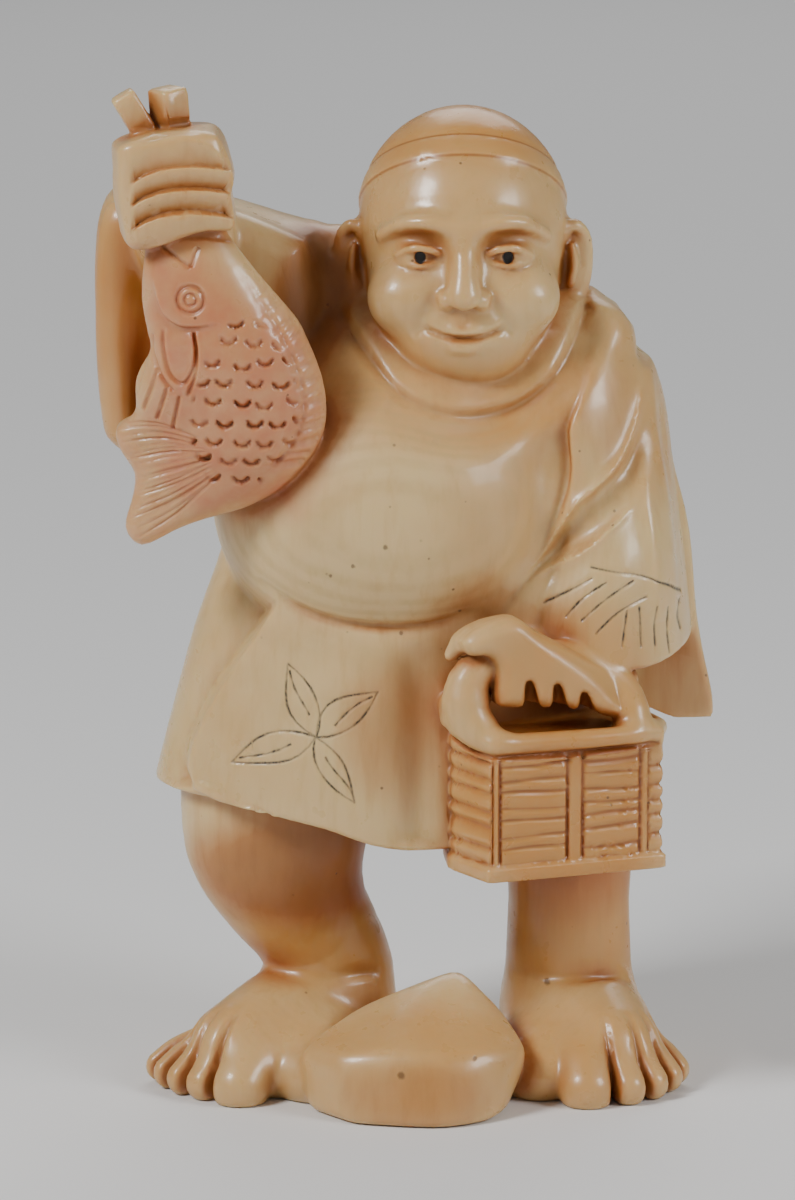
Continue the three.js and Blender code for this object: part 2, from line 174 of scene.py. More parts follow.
def sidesOf(points, ends, x, z):
    # for each side of a line in the front view: its start, where it ends in Z, its length in X and Z,
    # the share of it where x, z is nearest, and the squared distance there
    for (ax, az), (bx, bz) in zip(points, ends):
        dx, dz = bx - ax, bz - az
        t = np.clip(((x - ax) * dx + (z - az) * dz) / (dx * dx + dz * dz + 1e-9), 0, 1)
        yield ax, az, bz, dx, dz, t, (x - ax - t * dx) ** 2 + (z - az - t * dz) ** 2


def outlineDistance(points, x, z):
    # signed distance in the front view from a closed outline, negative inside
    nearest, inside = 1e9, False
    for ax, az, bz, dx, dz, _, d in sidesOf(points, np.roll(points, -1, 0), x, z):
        nearest = np.minimum(nearest, d)
        inside = inside ^ (((az > z) != (bz > z)) & (x < ax + (z - az) * dx / (dz if dz else 1e-9)))
    return np.where(inside, -1, 1) * np.sqrt(nearest)


def lineDistance(points, x, z):
    # distance from a line, the share of its length, and which side of its direction: positive on the left
    nearest, along, side = np.float32(1e9), 0.0, 0.0
    for i, (ax, az, _, dx, dz, t, d) in enumerate(sidesOf(points[:-1], points[1:], x, z)):
        closer = d < nearest
        along = np.where(closer, (i + t) / (len(points) - 1), along)
        side = np.where(closer, dx * (z - az) - dz * (x - ax), side)
        nearest = np.minimum(nearest, d)
    return np.sqrt(nearest), along, np.sign(side)


def panel(outline, near=-30.0, far=30.0, soft=0.01):
    # a slab whose outline lies in the front view, between two depths
    points = np.array(outline, float)

    def distance(x, y, z):
        flat = outlineDistance(points, x, z).astype(np.float32) + soft
        deep = np.maximum(near - y, y - far) + soft
        outside = np.sqrt(np.maximum(flat, 0) ** 2 + np.maximum(deep, 0) ** 2)
        return outside + np.minimum(np.maximum(flat, deep), 0) - soft
    (lowX, lowZ), (highX, highZ) = points.min(0), points.max(0)
    return (lowX, near, lowZ), (highX, far, highZ), distance


def stroke(points, ends, profile):
    # a relief along a smooth line, from its profile and the shares in which its two ends run out
    line = smoothLine(points, 5)

    def relief(x, z):
        d, along, side = lineDistance(line, x, z)
        return profile(d, side, rising(along, ends[0]) * rising(1 - along, ends[1])).astype(np.float32)
    return relief


def groove(points, width, depth, ends=(0.2, 0.2)):
    return stroke(points, ends, lambda d, side, share: depth * share ** 0.5 * np.exp(-(d / width) ** 2))


def crest(points, left, width, depth, other, ends=(0.45, 0.35)):
    # a crisp edge along a line, with a hollow beside it and a shallower one behind it
    def profile(d, side, share):
        hollow = d / width * np.exp(1 - d / width) * np.where(left * side > 0, 1, other)
        return depth * share * share * (3 - 2 * share) * hollow
    return stroke(points, ends, profile)


def step(points, left, width, depth, ends=(0.25, 0.25), sharp=0.12):
    # a drop beside a line, deepest at the line and running out away from it
    def profile(d, side, share):
        drop = np.where(left * side > 0, np.exp(-(d / width) ** 1.3), np.exp(-(d / sharp) ** 2))
        return depth * share ** 0.7 * drop
    return stroke(points, ends, profile)


class Lump:
    # a lump of ivory: distances on a part of the block's grid

    def __init__(self, low, high):
        step, origin = drawing["step"], np.array(drawing["low"])
        size = np.ceil((np.array(drawing["high"]) - origin) / step).astype(int)
        self.first = np.clip(((np.array(low) - origin) / step).astype(int), 0, size)
        self.last = np.clip(((np.array(high) - origin) / step).astype(int) + 1, 0, size)
        places = [origin[i] + step * np.arange(self.first[i], self.last[i]) for i in range(3)]
        self.lines = [line.astype(np.float32) for line in places]
        self.values = np.full(self.last - self.first, drawing["far"], np.float32)

    def part(self, low, high):
        # the slices and the coordinates of a region of the lump
        step, origin = drawing["step"], np.array(drawing["low"])
        first = np.clip(((np.array(low) - origin) / step).astype(int) - self.first, 0, self.values.shape)
        last = np.clip(((np.array(high) - origin) / step).astype(int) + 2 - self.first, 0, self.values.shape)
        where = tuple(slice(a, b) for a, b in zip(first, last))
        x, y, z = [line[s] for line, s in zip(self.lines, where)]
        return where, (x[:, None, None], y[None, :, None], z[None, None, :])

    def put(self, shape, blend=0.3):
        margin = max(drawing["margin"], blend)
        where, xyz = self.part(np.subtract(shape[0], margin), np.add(shape[1], margin))
        self.values[where] = softMin(self.values[where], shape[2](*xyz), blend)
        return self

    def cut(self, shape, blend=0.3):
        where, xyz = self.part(np.subtract(shape[0], blend), np.add(shape[1], blend))
        self.values[where] = -softMin(-self.values[where], shape[2](*xyz), blend)
        return self

    def keep(self, shape, blend=0.3):
        where, xyz = self.part(*[[line[k] for line in self.lines] for k in (0, -1)])
        self.values[where] = -softMin(-self.values[where], -shape[2](*xyz), blend)
        return self

    def form(self, parts, names, sides=(0,)):
        # puts on or cuts away named parts; those of the head are given beside its middle
        for side in sides:
            for name in names.split():
                way, blend, places, *sizes = parts[name]
                make = limb if isinstance(places, list) else blob
                if side:
                    places, sizes = beside(places, sizes, side)
                getattr(self, way)(make(places, *sizes), blend)
        return self

    def push(self, low, high, amount):
        # sinks the surface in a region by an amount that may differ from place to place
        where, xyz = self.part(low, high)
        self.values[where] += amount(*xyz)
        return self

    def draw(self, relief, near=-14.0, back=0.0, fade=0.6):
        # sinks the surface by a relief drawn in the front view, between two depths
        x, y, z = self.lines
        share = rising(back - y, fade) * rising(y - near, fade)
        self.values += relief(x[:, None], z[None, :])[:, None, :] * share[None, :, None]
        return self

    def grooves(self, lines, ends, **where):
        for points, width, depth in lines:
            self.draw(groove(points, width, depth, ends), **where)
        return self

    def join(self, other, blend=0.3):
        low, high = np.maximum(self.first, other.first), np.minimum(self.last, other.last)
        here = tuple(slice(a, b) for a, b in zip(low - self.first, high - self.first))
        there = tuple(slice(a, b) for a, b in zip(low - other.first, high - other.first))
        self.values[here] = softMin(self.values[here], other.values[there], blend)
        return self


# A part below is the way it is carved and its blend, then a place and half sizes, or points and radii.

head = {
    "middle": 3.1,
    "skull": ("put", 0.3, (3.1, -0.4, 45.2), (5.4, 5.8, 6.0)),
    "jaw": ("put", 1.0, (3.1, -1.6, 42.2), (4.8, 5.1, 4.8)),
    "capEdge": {
        "y": -4.5, "z": 49.3, "slope": -0.66, "raise": 0.16, "edge": 0.2, "lineAbove": 1.35,
        "lineDepth": 0.1, "lineWidth": 0.16, "lowest": 46.5,
    },
}

ear = {
    "shell": ("put", 0.4, (5.55, -0.35, 43.1), (1.05, 1.35, 2.35), (0, 0, 14)),
    "rim": ("put", 0.3, [
        (5.1, -1.5, 44.9), (5.75, -1.45, 45.3), (6.3, -1.1, 44.6), (6.4, -0.95, 43.2), (6.05, -1.15, 41.8),
        (5.6, -1.4, 41.0),
    ], (0.3, 0.33, 0.34, 0.32, 0.36, 0.45)),
    "fold": ("put", 0.2, [(5.6, -1.75, 44.3), (5.75, -1.7, 43.3), (5.55, -1.75, 42.3)], (0.16, 0.22, 0.2)),
    "hollow": ("cut", 0.25, (5.3, -1.95, 43.0), (0.3, 0.6, 0.85)),
    "flute": ("cut", 0.2, [
        (5.6, -1.95, 44.75), (6.0, -1.7, 44.2), (6.08, -1.6, 43.2), (5.85, -1.75, 42.2),
    ], (0.14, 0.2, 0.2, 0.14)),
    "lobe": ("put", 0.4, (5.45, -1.2, 41.2), (0.62, 0.7, 0.7)),
}

# The face is a calm one of the carver's own, in thirds from the cap to the chin.
face = {
    "socket": ("cut", 1.0, (2.35, -7.35, 44.5), (1.7, 1.35, 0.95)),
    "eyeball": ("put", 0.2, (2.3, -5.0, 44.4), (1.3, 1.05, 0.85)),
    "upperLid": ("put", 0.12, [
        (1.0, -5.95, 44.3), (1.65, -6.25, 44.72), (2.6, -6.15, 44.8), (3.5, -5.45, 44.35),
    ], (0.13, 0.22, 0.22, 0.14)),
    "lowerLid": ("put", 0.15, [
        (1.15, -5.9, 44.15), (1.9, -6.1, 43.92), (2.7, -5.95, 43.92), (3.4, -5.4, 44.2),
    ], (0.1, 0.16, 0.16, 0.1)),
    "brow": ("put", 0.9, [
        (0.75, -6.25, 45.8), (1.9, -6.25, 46.1), (3.2, -5.6, 45.95), (4.3, -4.3, 45.2),
    ], (0.35, 0.4, 0.34, 0.1)),
    "bridge": ("put", 0.7, [(0, -5.95, 45.7), (0, -6.4, 44.5), (0, -7.0, 43.2)], (0.6, 0.52, 0.66)),
    "tip": ("put", 0.5, (0, -7.2, 42.45), (0.85, 0.8, 0.72)),
    "wing": ("put", 0.25, (0.95, -6.65, 42.2), (0.58, 0.75, 0.52)),
    "nostril": ("cut", 0.15, (0.42, -7.25, 41.78), (0.26, 0.35, 0.2)),
    "cheek": ("put", 1.3, (3.0, -4.7, 42.0), (1.9, 1.85, 1.75)),
    "muzzle": ("put", 1.3, (0, -5.25, 40.5), (2.2, 1.5, 1.5)),
    "upperLip": ("put", 0.25, [
        (-1.7, -6.1, 40.7), (-0.6, -6.85, 40.65), (0, -6.9, 40.55), (0.6, -6.85, 40.65), (1.7, -6.1, 40.7),
    ], (0.12, 0.3, 0.27, 0.3, 0.12)),
    "lowerLip": ("put", 0.15, [
        (-1.4, -6.1, 40.3), (-0.6, -6.75, 39.85), (0.6, -6.75, 39.85), (1.4, -6.1, 40.3),
    ], (0.12, 0.38, 0.38, 0.12)),
    "philtrum": ("cut", 0.3, [(0, -7.15, 41.6), (0, -7.1, 40.95)], (0.16, 0.2)),
    "smileFold": ("cut", 0.6, [(1.5, -6.85, 42.1), (2.1, -6.8, 41.3), (2.3, -6.5, 40.6)], (0.1, 0.14, 0.08)),
    "mouthLine": ([(-2.05, 40.8), (-1.1, 40.42), (0, 40.3), (1.1, 40.42), (2.05, 40.8)], 0.15, 0.26),
    "chin": ("put", 1.8, (0, -4.3, 39.3), (3.0, 2.1, 1.9)),
}


def beside(places, sizes, side):
    # a place, or points, given from the head's middle, on one side of it
    if isinstance(places, list):
        return [beside(place, (), side)[0] for place in places], sizes
    x, y, z = places
    turns = [tuple(side * angle for angle in turn) for turn in sizes[1:]]
    return (head["middle"] + side * x, y, z), [*sizes[:1], *turns]


def carveHead():
    lump = Lump((-4, -9.5, 35), (11, 7, 53)).form(head, "skull jaw")
    lump.form(face, "cheek brow socket", (-1, 1)).form(face, "muzzle chin bridge tip", (1,))
    lump.form(face, "wing nostril eyeball upperLid lowerLid smileFold", (-1, 1))
    lump.form(face, "philtrum upperLip lowerLip", (1,))
    mouth, width, depth = face["mouthLine"]
    mouth = [(head["middle"] + across, high) for across, high in mouth]
    lump.draw(groove(mouth, width, depth, (0.12, 0.12)), back=-4.0, fade=0.5)
    lump.form(ear, "shell rim lobe hollow flute fold", (-1, 1))
    cap = head["capEdge"]

    def capRelief(x, y, z):
        above = (z - cap["z"] - cap["slope"] * (y - cap["y"])) / math.hypot(1, cap["slope"]) + 0 * x
        line = cap["lineDepth"] * np.exp(-((above - cap["lineAbove"]) / cap["lineWidth"]) ** 2)
        return -cap["raise"] * np.clip(above / cap["edge"] + 0.5, 0, 1) + line
    return lump.push((-4, -9, 44), (11, 7, 53), capRelief)


body = {
    "belly": ("put", 0.3, (-0.7, -1.9, 31.0), (9.2, 7.9, 8.2)),
    "chest": ("put", 1.5, (0.9, -0.2, 36.0), (8.6, 5.9, 6.4)),
    "neck": ("put", 0.5, (3.2, 0.3, 39.1), (6.3, 5.7, 3.7)),
    # creases round the neck: line, width and depth
    "creases": [
        ([
            (-3.5, 41.9), (-3.0, 40.6), (-1.7, 38.9), (-0.2, 37.3), (1.9, 36.4), (3.9, 36.15), (6.0, 36.6),
            (7.9, 38.1), (9.1, 40.2), (9.6, 41.8),
        ], 0.32, 0.28),
        ([
            (-1.0, 36.9), (1.2, 35.7), (3.2, 35.35), (5.6, 35.9), (7.9, 37.3), (9.3, 39.2), (9.9, 41.2),
        ], 0.8, 0.55),
        # and under the belly
        ([(-7.5, 27.8), (-5.7, 26.5), (-3.6, 25.75), (-1.0, 25.45), (1.5, 25.6), (3.6, 26.3)], 0.22, 0.26),
    ],
    "mantle": ("put", 1.2, [(4.6, -4.2, 34.6), (7.9, -3.1, 36.9), (9.8, -1.5, 39.2)], (2.3, 2.6, 2.2)),
    "flank": ("put", 1.0, [
        (8.5, -2.8, 36.2), (8.4, -3.4, 33.0), (8.0, -3.8, 30.6), (7.4, -4.1, 28.6), (5.8, -4.4, 26.0),
    ], (2.0, 2.4, 2.7, 2.8, 2.5)),
}


def carveBody():
    return Lump((-12, -12, 22), (14.5, 8, 45)).form(body, "belly chest neck mantle flank")


cloth = {
    "coat": [
        (41.6, 2.2, 1.7, 4.6, 4.0), (39.4, 1.8, 1.6, 7.6, 5.3), (36.4, 1.2, 1.5, 9.2, 6.1),
        (32.0, 0.4, 1.3, 9.0, 6.4), (28.0, -0.7, 0.8, 8.8, 6.4), (24.0, -1.1, 0.2, 9.8, 7.1),
        (20.0, -1.1, 0.1, 10.9, 7.4), (15.7, -1.0, 0.1, 12.1, 7.7),
    ],
    "flap": [
        (28.6, -1.2, 0.0, 8.2, 6.9), (26.4, -1.1, 0.0, 9.5, 7.5), (24.0, -1.0, 0.0, 10.5, 7.9),
        (20.0, -0.9, -0.1, 11.7, 8.3), (13.2, -0.6, -0.2, 13.3, 8.7),
    ],
    "flapEdge": [(-6.4, 28.4), (-6.7, 26.4), (-9.9, 21.3), (-11.4, 17.8), (-11.0, 16.2)],
    "flapHem": [(-9.6, 15.8), (-6.6, 15.35), (-4.0, 14.85), (-1.2, 14.0), (1.9, 13.85), (12.4, 14.4)],
    "flapOutside": [(13.5, 28.4)],
    "flapBack": -1.0,
    "flapStep": (0.9, 0.6),  # width and depth of the drop beside its edge
    # long soft dips down the front of the skirt: points, width and depth
    "dips": [
        ([(0.6, 24.6), (0.9, 19.6), (0.7, 14.2)], 0.9, 0.35),
        ([(-4.6, 24.8), (-6.6, 20.0), (-7.6, 15.6)], 1.2, 0.22),
        ([(-7.6, 23.4), (-9.6, 19.6), (-10.2, 16.6)], 0.7, 0.15),
    ],
    # folds of the back: where round the coat, width and depth
    "backFolds": [(-5.6, 0.9, 0.3), (-2.4, 1.3, 0.4), (2.3, 1.2, 0.38), (5.8, 1.0, 0.3)],
    "collar": ("put", 0.9, [
        (-3.6, 1.4, 41.9), (-2.6, 4.6, 41.4), (1.9, 6.6, 41.1), (6.6, 5.2, 41.2), (8.6, 1.6, 41.6),
    ], (0.9, 1.0, 1.0, 1.0, 0.9)),
}


def carveCloth():
    c = cloth
    lump = Lump((-15, -12, 12), (17, 9, 46)).put(stack(c["coat"]), 0.2).form(c, "collar")

    def backFolds(x, y, z):
        down = rising(36 - z, 12) * rising(y - 1, 3)
        fan = 1 + 0.035 * (36 - z) / 2
        total = 0
        for at, width, depth in c["backFolds"]:
            total = total + depth * np.exp(-((x + 0.7 - at * fan) / (width * fan)) ** 2)
        return total * down
    lump.push((-15, 0, 12), (17, 9, 40), backFolds)
    flap = Lump((-14, -12, 12), (15, 1, 30)).put(stack(c["flap"]), 0.2)
    outline = [*smoothLine(c["flapEdge"]), *smoothLine(c["flapHem"]), *c["flapOutside"]]
    flap.keep(panel(outline, far=c["flapBack"]), 0.3)
    edge = step(smoothLine(c["flapEdge"]), -1, *c["flapStep"], (0.2, 0.05))
    lump.join(flap, 0.25).draw(edge, back=-1.0, fade=2.0)
    return lump.grooves(c["dips"], (0.3, 0.02), back=-1.0, fade=3.0)


jacket = {
    "layer": ("put", 0.8, (4.2, 0.3, 34.2), (9.6, 7.4, 9.4)),
    "sleeve": [
        (40.6, 8.4, 0.8, 2.5, 3.6), (38.4, 8.6, 0.4, 3.4, 5.0), (34.0, 9.1, 0.0, 4.6, 6.2),
        (29.0, 9.8, -0.6, 4.75, 6.9), (22.6, 10.1, -0.7, 5.15, 7.3),
    ],
    "shoulder": ("put", 1.2, (7.6, 0.9, 37.9), (4.0, 4.9, 4.2)),
    "edge": [
        (9.9, 44), (9.2, 38), (8.5, 35.5), (8.35, 33.3), (7.7, 31.5), (6.9, 30.0), (5.9, 28.4), (4.8, 26.9),
    ],
    "hem": [(4.9, 26.2), (6.8, 25.1), (8.8, 24.0), (11.2, 23.15), (13.1, 23.15), (15.6, 23.8)],
    "outside": [(17.3, 26), (17.3, 44)],
    # the lapel's edge: line, width and depth
    "lapel": ([
        (8.55, 35.2), (8.5, 33.9), (8.3, 32.6), (7.95, 31.2), (7.4, 29.5), (6.7, 28.1), (5.7, 26.9),
        (4.7, 25.7),
    ], 0.32, 0.18),
    # crisp edges that fan out from the waist: line, side of the hollow, its width and depth, the share behind
    "crests": [
        ([
            (12.5, 38.2), (12.3, 36.9), (11.95, 35.35), (11.15, 33.7), (10.05, 32.6), (8.8, 31.5),
            (7.85, 30.05), (7.2, 28.9), (6.1, 27.6), (4.9, 26.2),
        ], 1, 0.6, 0.72, 0.45),
        ([
            (12.2, 31.9), (11.6, 31.3), (10.75, 30.45), (9.3, 29.25), (7.95, 28.45), (6.9, 27.8),
            (5.6, 26.7),
        ], -1, 0.55, 0.7, 0.35),
        ([(9.0, 29.0), (8.2, 28.3), (7.4, 27.0), (6.7, 25.6), (6.4, 24.6)], -1, 0.6, 0.16, 0.3),
    ],
    "band": ([
        (12.3, 37.4), (12.3, 34.4), (12.5, 32.6), (12.9, 30.1), (13.2, 28.0), (13.4, 25.4),
    ], 0.6, -0.42),
    "notch": ("cut", 0.4, [
        (13.2, -5.0, 38.3), (12.85, -1.5, 38.8), (12.75, 2.0, 39.0), (12.9, 5.0, 39.0),
    ], (0.8, 0.8, 0.75, 0.6)),
    "outerFold": ("put", 0.9, [
        (12.1, -1.6, 38.2), (12.55, -3.2, 34.4), (12.95, -4.4, 29), (13.35, -4.6, 25),
    ], (0.4, 0.8, 0.8, 0.4)),
    "back": [
        (37.0, 9.0, 0.6, 3.6, 5.0), (30.0, 9.9, 0.2, 4.9, 5.8), (24.0, 10.3, 0.0, 5.2, 6.2),
        (18.8, 10.6, 0.0, 6.0, 6.6),
    ],
    "backOutline": [(4, 19.6), (13, 19.5), (14.4, 18.9), (16.3, 19), (17, 24), (17, 38), (4, 38)],
    "backNear": -0.5,
    "mouth": ("cut", 0.3, (9.7, -3.0, 22.4), (3.4, 3.4, 2.7)),
    "cuff": ("put", 0.3, [(5.6, -6.0, 24.5), (8.2, -5.9, 23.2), (11.0, -5.2, 22.0)], (1.3, 1.3, 1.2)),
    "sideFolds": [
        ([(13.6, 37), (14.0, 30), (13.2, 20)], 0.5, 0.3), ([(11.0, 36), (11.4, 28), (10.2, 20)], 0.7, 0.35),
        ([(8.4, 34), (8.2, 27), (7.2, 20)], 0.6, 0.3),
    ],
}


def carveJacketFront():
    j = jacket
    lump = Lump((1, -11, 17), (17.4, 9, 46)).put(stack(j["sleeve"]), 0.2).form(j, "layer outerFold notch")
    lump.keep(panel([*smoothLine(j["edge"]), *smoothLine(j["hem"]), *j["outside"]]), 0.35)
    back = Lump((2, -3, 17), (17.4, 9, 40)).put(stack(j["back"]), 0.2)
    back.keep(panel(j["backOutline"], near=j["backNear"]), 0.35)
    lump.join(back, 0.25).form(j, "mouth cuff")
    return lump.grooves(j["sideFolds"], (0.3, 0.02), near=1.5, back=9.0, fade=2.0)


rightArm = {
    "upper": ("put", 1.2, [(-1.5, 1.8, 40.6), (-6, 1.4, 41.8), (-12, 0.6, 43)], (4.0, 3.3, 2.9)),
    "fore": ("put", 0.5, [(-10.5, 1, 42.5), (-11.2, -3, 44.8), (-11.5, -7, 47)], (3.2, 2.6, 2.3)),
    "drape": [
        (-5, 44.6), (-8.6, 46.1), (-12, 46.7), (-15.2, 46.6), (-16, 43), (-15.7, 36), (-14.9, 33.8),
        (-12, 32.8), (-8, 34.6), (-4, 38.4),
    ],
    "near": -3.4, "far": 3.7, "edge": 1.5,  # the sleeve's depths and its roundness
    "hollow": ("cut", 0.7, [
        (-12.6, -4.6, 45.6), (-12.9, -4.1, 40.5), (-12.6, -3.8, 36.4), (-12.9, -3.6, 32),
    ], (1.0, 1.5, 1.55, 1.2)),
    "inner": ("put", 0.8, [(-11.2, -3.6, 43.5), (-11.9, -3.3, 39), (-12.4, -3.4, 35)], (0.5, 0.8, 0.4)),
    "shoulder": ("put", 0.5, [(-6.4, 0.9, 43.5), (-4.4, 0.9, 43.3), (-2.2, 1.4, 43.4)], (1.2, 1.3, 1.35)),
    "backFolds": [
        ([(-5, 43), (-9.5, 41), (-13.6, 36)], 0.9, 0.35), ([(-6, 40), (-9.4, 38), (-12, 34.5)], 0.7, 0.3),
    ],
    # folds of the sleeve's outer side, in Y and Z: line, width and depth
    "outerFolds": [
        ([(-1.4, 47.5), (-1.5, 42.0), (-0.6, 37.0), (0.4, 33.4)], 0.7, 0.35),
        ([(1.2, 46.0), (1.3, 41.5), (2.2, 37.0)], 0.5, 0.25),
    ],
}


def carveRightArm():
    r = rightArm
    sleeve = panel(smoothLine(r["drape"]), r["near"], r["far"], r["edge"])
    lump = Lump((-17, -11, 31), (4, 8, 51)).put(sleeve, 0.2)
    lump.grooves(r["backFolds"], (0.3, 0.1), near=1.0, back=8.0, fade=1.0)
    for fold in r["outerFolds"]:
        relief = groove(*fold, (0.1, 0.3))
        lump.push((-17, -4, 31), (-13.2, 4, 48), lambda x, y, z: relief(y, z) * rising(-13.4 - x, 0.8))
    return lump.form(r, "hollow inner upper shoulder fore")


fist = {
    "palm": {"at": (-11.45, -8.0, 48.45), "size": (6.0, 5.4, 5.9), "turn": (0, -5, 8), "soft": 0.7},
    "heel": ("keep", 0.8, (-11.5, -8.7, 48.4), (4.9, 3.9, 4.9)),  # rounds the back of the hand
    "knuckles": ("put", 1.2, (-11.3, -9.1, 48.4), (3.0, 2.0, 3.1)),
    "outline": [
        (-15.3, 47.0), (-15.2, 49.9), (-14.6, 50.5), (-14.0, 50.75), (-12.5, 51.2), (-10.8, 51.35),
        (-9.5, 51.25), (-8.9, 50.35), (-8.5, 49.0), (-8.65, 48.0), (-8.5, 46.4), (-9.8, 46.35),
        (-10.8, 46.1), (-12.4, 45.5), (-13.4, 45.2), (-14.6, 45.2),
    ],
    "stubs": [
        {"at": (-13.1, -7.9, 51.1), "size": (1.25, 1.35, 4.3), "turn": (0, -31, 10), "soft": 0.16},
        {"at": (-11.7, -7.7, 51.2), "size": (1.5, 1.6, 4.1), "turn": (0, -7, 38), "soft": 0.14},
    ],
}


def carveFist():
    lump = Lump((-16, -13, 43), (-6.5, -3, 54.6)).put(block(**fist["palm"]), 0.3).form(fist, "knuckles")
    lump.keep(panel(closedLine(fist["outline"])), 0.3).form(fist, "heel")
    for stub in fist["stubs"]:
        lump.put(block(**stub), 0.15)
    return lump


fish = {
    "body": ("put", 0.2, [
        (-11.0, -8.9, 45.8), (-10.2, -9, 42.8), (-8.6, -8.7, 39.4), (-7.9, -8.3, 36.8), (-9, -7.7, 34.8),
        (-11.2, -7, 33.8),
    ], (1.9, 3.0, 3.9, 4.0, 3.2, 1.9), 0.55, 6),
    "tail": [
        (-9.8, 36.4), (-11.4, 36.6), (-13.3, 36.4), (-14.6, 35.8), (-14.4, 34.6), (-13.5, 33.4),
        (-13.9, 31.9), (-14.2, 30.6), (-13.4, 29.7), (-11.8, 30.4), (-9.9, 31.5), (-8.3, 33),
    ],
    "paunch": ("put", 1.0, (-11.3, -8.1, 37.9), (2.3, 1.5, 2.3)),
    "tailNear": -8.3, "tailFar": -5.9, "tailSoft": 0.75,
}


def carveFish():
    tail = panel(smoothLine(fish["tail"], 3), fish["tailNear"], fish["tailFar"], fish["tailSoft"])
    return Lump((-16, -13, 28), (-2, -3, 49)).form(fish, "body paunch").put(tail, 1.6)


hand = {
    "outline": [
        (2.9, 25.3), (3.5, 25.85), (4.7, 26.3), (5.9, 26.35), (7.0, 25.5), (8.7, 24.2), (10.3, 22.8),
        (11.6, 21.5), (11.7, 20.8), (10.7, 20.95), (9.2, 21.35), (7.4, 21.6), (5.5, 21.75), (4.75, 22.05),
        (4.8, 23.7), (4.3, 24.5), (3.3, 24.6),
    ],
    # the slab's depths, its roundness and its turn about Z
    "near": -10.9, "far": -8.6, "soft": 0.75, "turn": 17,
    "hinge": (5.0, -10.4),
    "back": ("put", 0.5, [
        (4.8, -9.2, 25.1), (7.3, -8.8, 23.9), (9.6, -8.0, 22.5), (11.2, -7.0, 21.6),
    ], (0.9, 1.1, 1.05, 0.9)),
    "thumb": ("put", 0.5, [(4.0, -9.3, 25.4), (3.0, -9.5, 25.1), (2.45, -9.6, 24.4)], (0.6, 0.5, 0.36)),
    # notches between the fingers: middle X, its top Z and its half width
    "notches": [(6.5, 23.0, 0.2), (7.95, 22.75, 0.2), (9.35, 22.2, 0.22)],
    "notchDepth": 3.5,
}


def carveHand():
    h = hand
    lump = Lump((1, -12.5, 19), (14, -4, 28))
    hx, hy = h["hinge"]
    c, n = math.cos(math.radians(h["turn"])), math.sin(math.radians(h["turn"]))
    flat = panel(closedLine(h["outline"]), h["near"], h["far"], h["soft"])[2]

    def slab(x, y, z):
        return flat(hx + c * (x - hx) + n * (y - hy), hy + c * (y - hy) - n * (x - hx), z)
    lump.put(((1, -12, 20), (14, -5, 28), slab), 0.2).form(h, "back thumb")
    for x, top, half in h["notches"]:
        y = hy + (x - hx) * n / c
        line = [(x + 0.15, y + 0.3, 20.2), (x, y, top - 0.6), (x - 0.1, y - 0.2, top)]
        lump.cut(limb(line, (half * 2.7, half * 1.5, half * 0.8), h["notchDepth"]), 0.35)
    return lump


basket = {
    "at": (7.9, -7.3, 12.8), "turn": 20, "width": 9.7, "depth": 6.2, "height": 6.75, "soft": 0.2,
    # its left side slants back to a corner
    "plan": [(-4.85, -3.1), (4.85, -3.1), (5.0, 3.1), (-5.0, 3.1), (-5.75, 0.3)],
    "rim": 0.95, "rimOut": 0.12,
    # line, width and depth
    "seam": ([(2.0, 20.6), (2.5, 20.1), (3.3, 19.7), (4.4, 19.5), (8.3, 19.4), (13.2, 19.55)], 0.13, 0.3),
    "floor": 0.7,  # the lid's hollow floor over the woven part
    "ring": 0.52, "ringIn": (0.885, 0.86),  # the thick ring round it, and how far in it lies
    "back": ("put", 0.4, [(4.0, -10.3, 20.4), (2.9, -9.4, 20.8), (2.6, -8.2, 21.4)], (0.8, 0.9, 0.8)),
    "handle": ("put", 0.6, [
        (4.9, -11.0, 20.1), (3.9, -10.5, 20.6), (3.2, -9.9, 22.0), (4.0, -9.5, 23.7), (7.8, -7.9, 24.0),
        (10.8, -7.3, 22.5), (11.7, -8.0, 21.0), (11.8, -8.6, 20.2),
    ], (0.6, 0.95, 1.25, 0.95, 0.8, 0.95, 1.0, 0.7)),
}


def basketPlace(px, py, pz):
    # a point given from the basket's middle and its underside
    c, n = math.cos(math.radians(basket["turn"])), math.sin(math.radians(basket["turn"]))
    x, y, z = basket["at"]
    return x + c * px - n * py, y + n * px + c * py, z + pz


def basketBlock(low, high, out):
    corners = [(px * (1 + out / abs(px)), py * (1 + out / abs(py))) for px, py in basket["plan"]]
    ends = [basketPlace(*corner, height) for corner in corners for height in (low, high)]
    return hull(ends, basket["soft"])


def carveBasket():
    b = basket
    lump = Lump((0, -13.5, 11), (15, -1, 26)).put(basketBlock(0, b["height"] + b["floor"], -0.03), 0.1)
    lump.put(basketBlock(0, b["rim"], b["rimOut"]), 0.05)
    high = b["height"] + b["ring"] * 0.95
    ring = [basketPlace(px * b["ringIn"][0], py * b["ringIn"][1], high) for px, py in b["plan"][:3]]
    lump.put(limb(ring, [b["ring"]]), 0.25).form(b, "back handle")
    return lump.draw(groove(*b["seam"], (0.02, 0.02)), back=-3, fade=2)


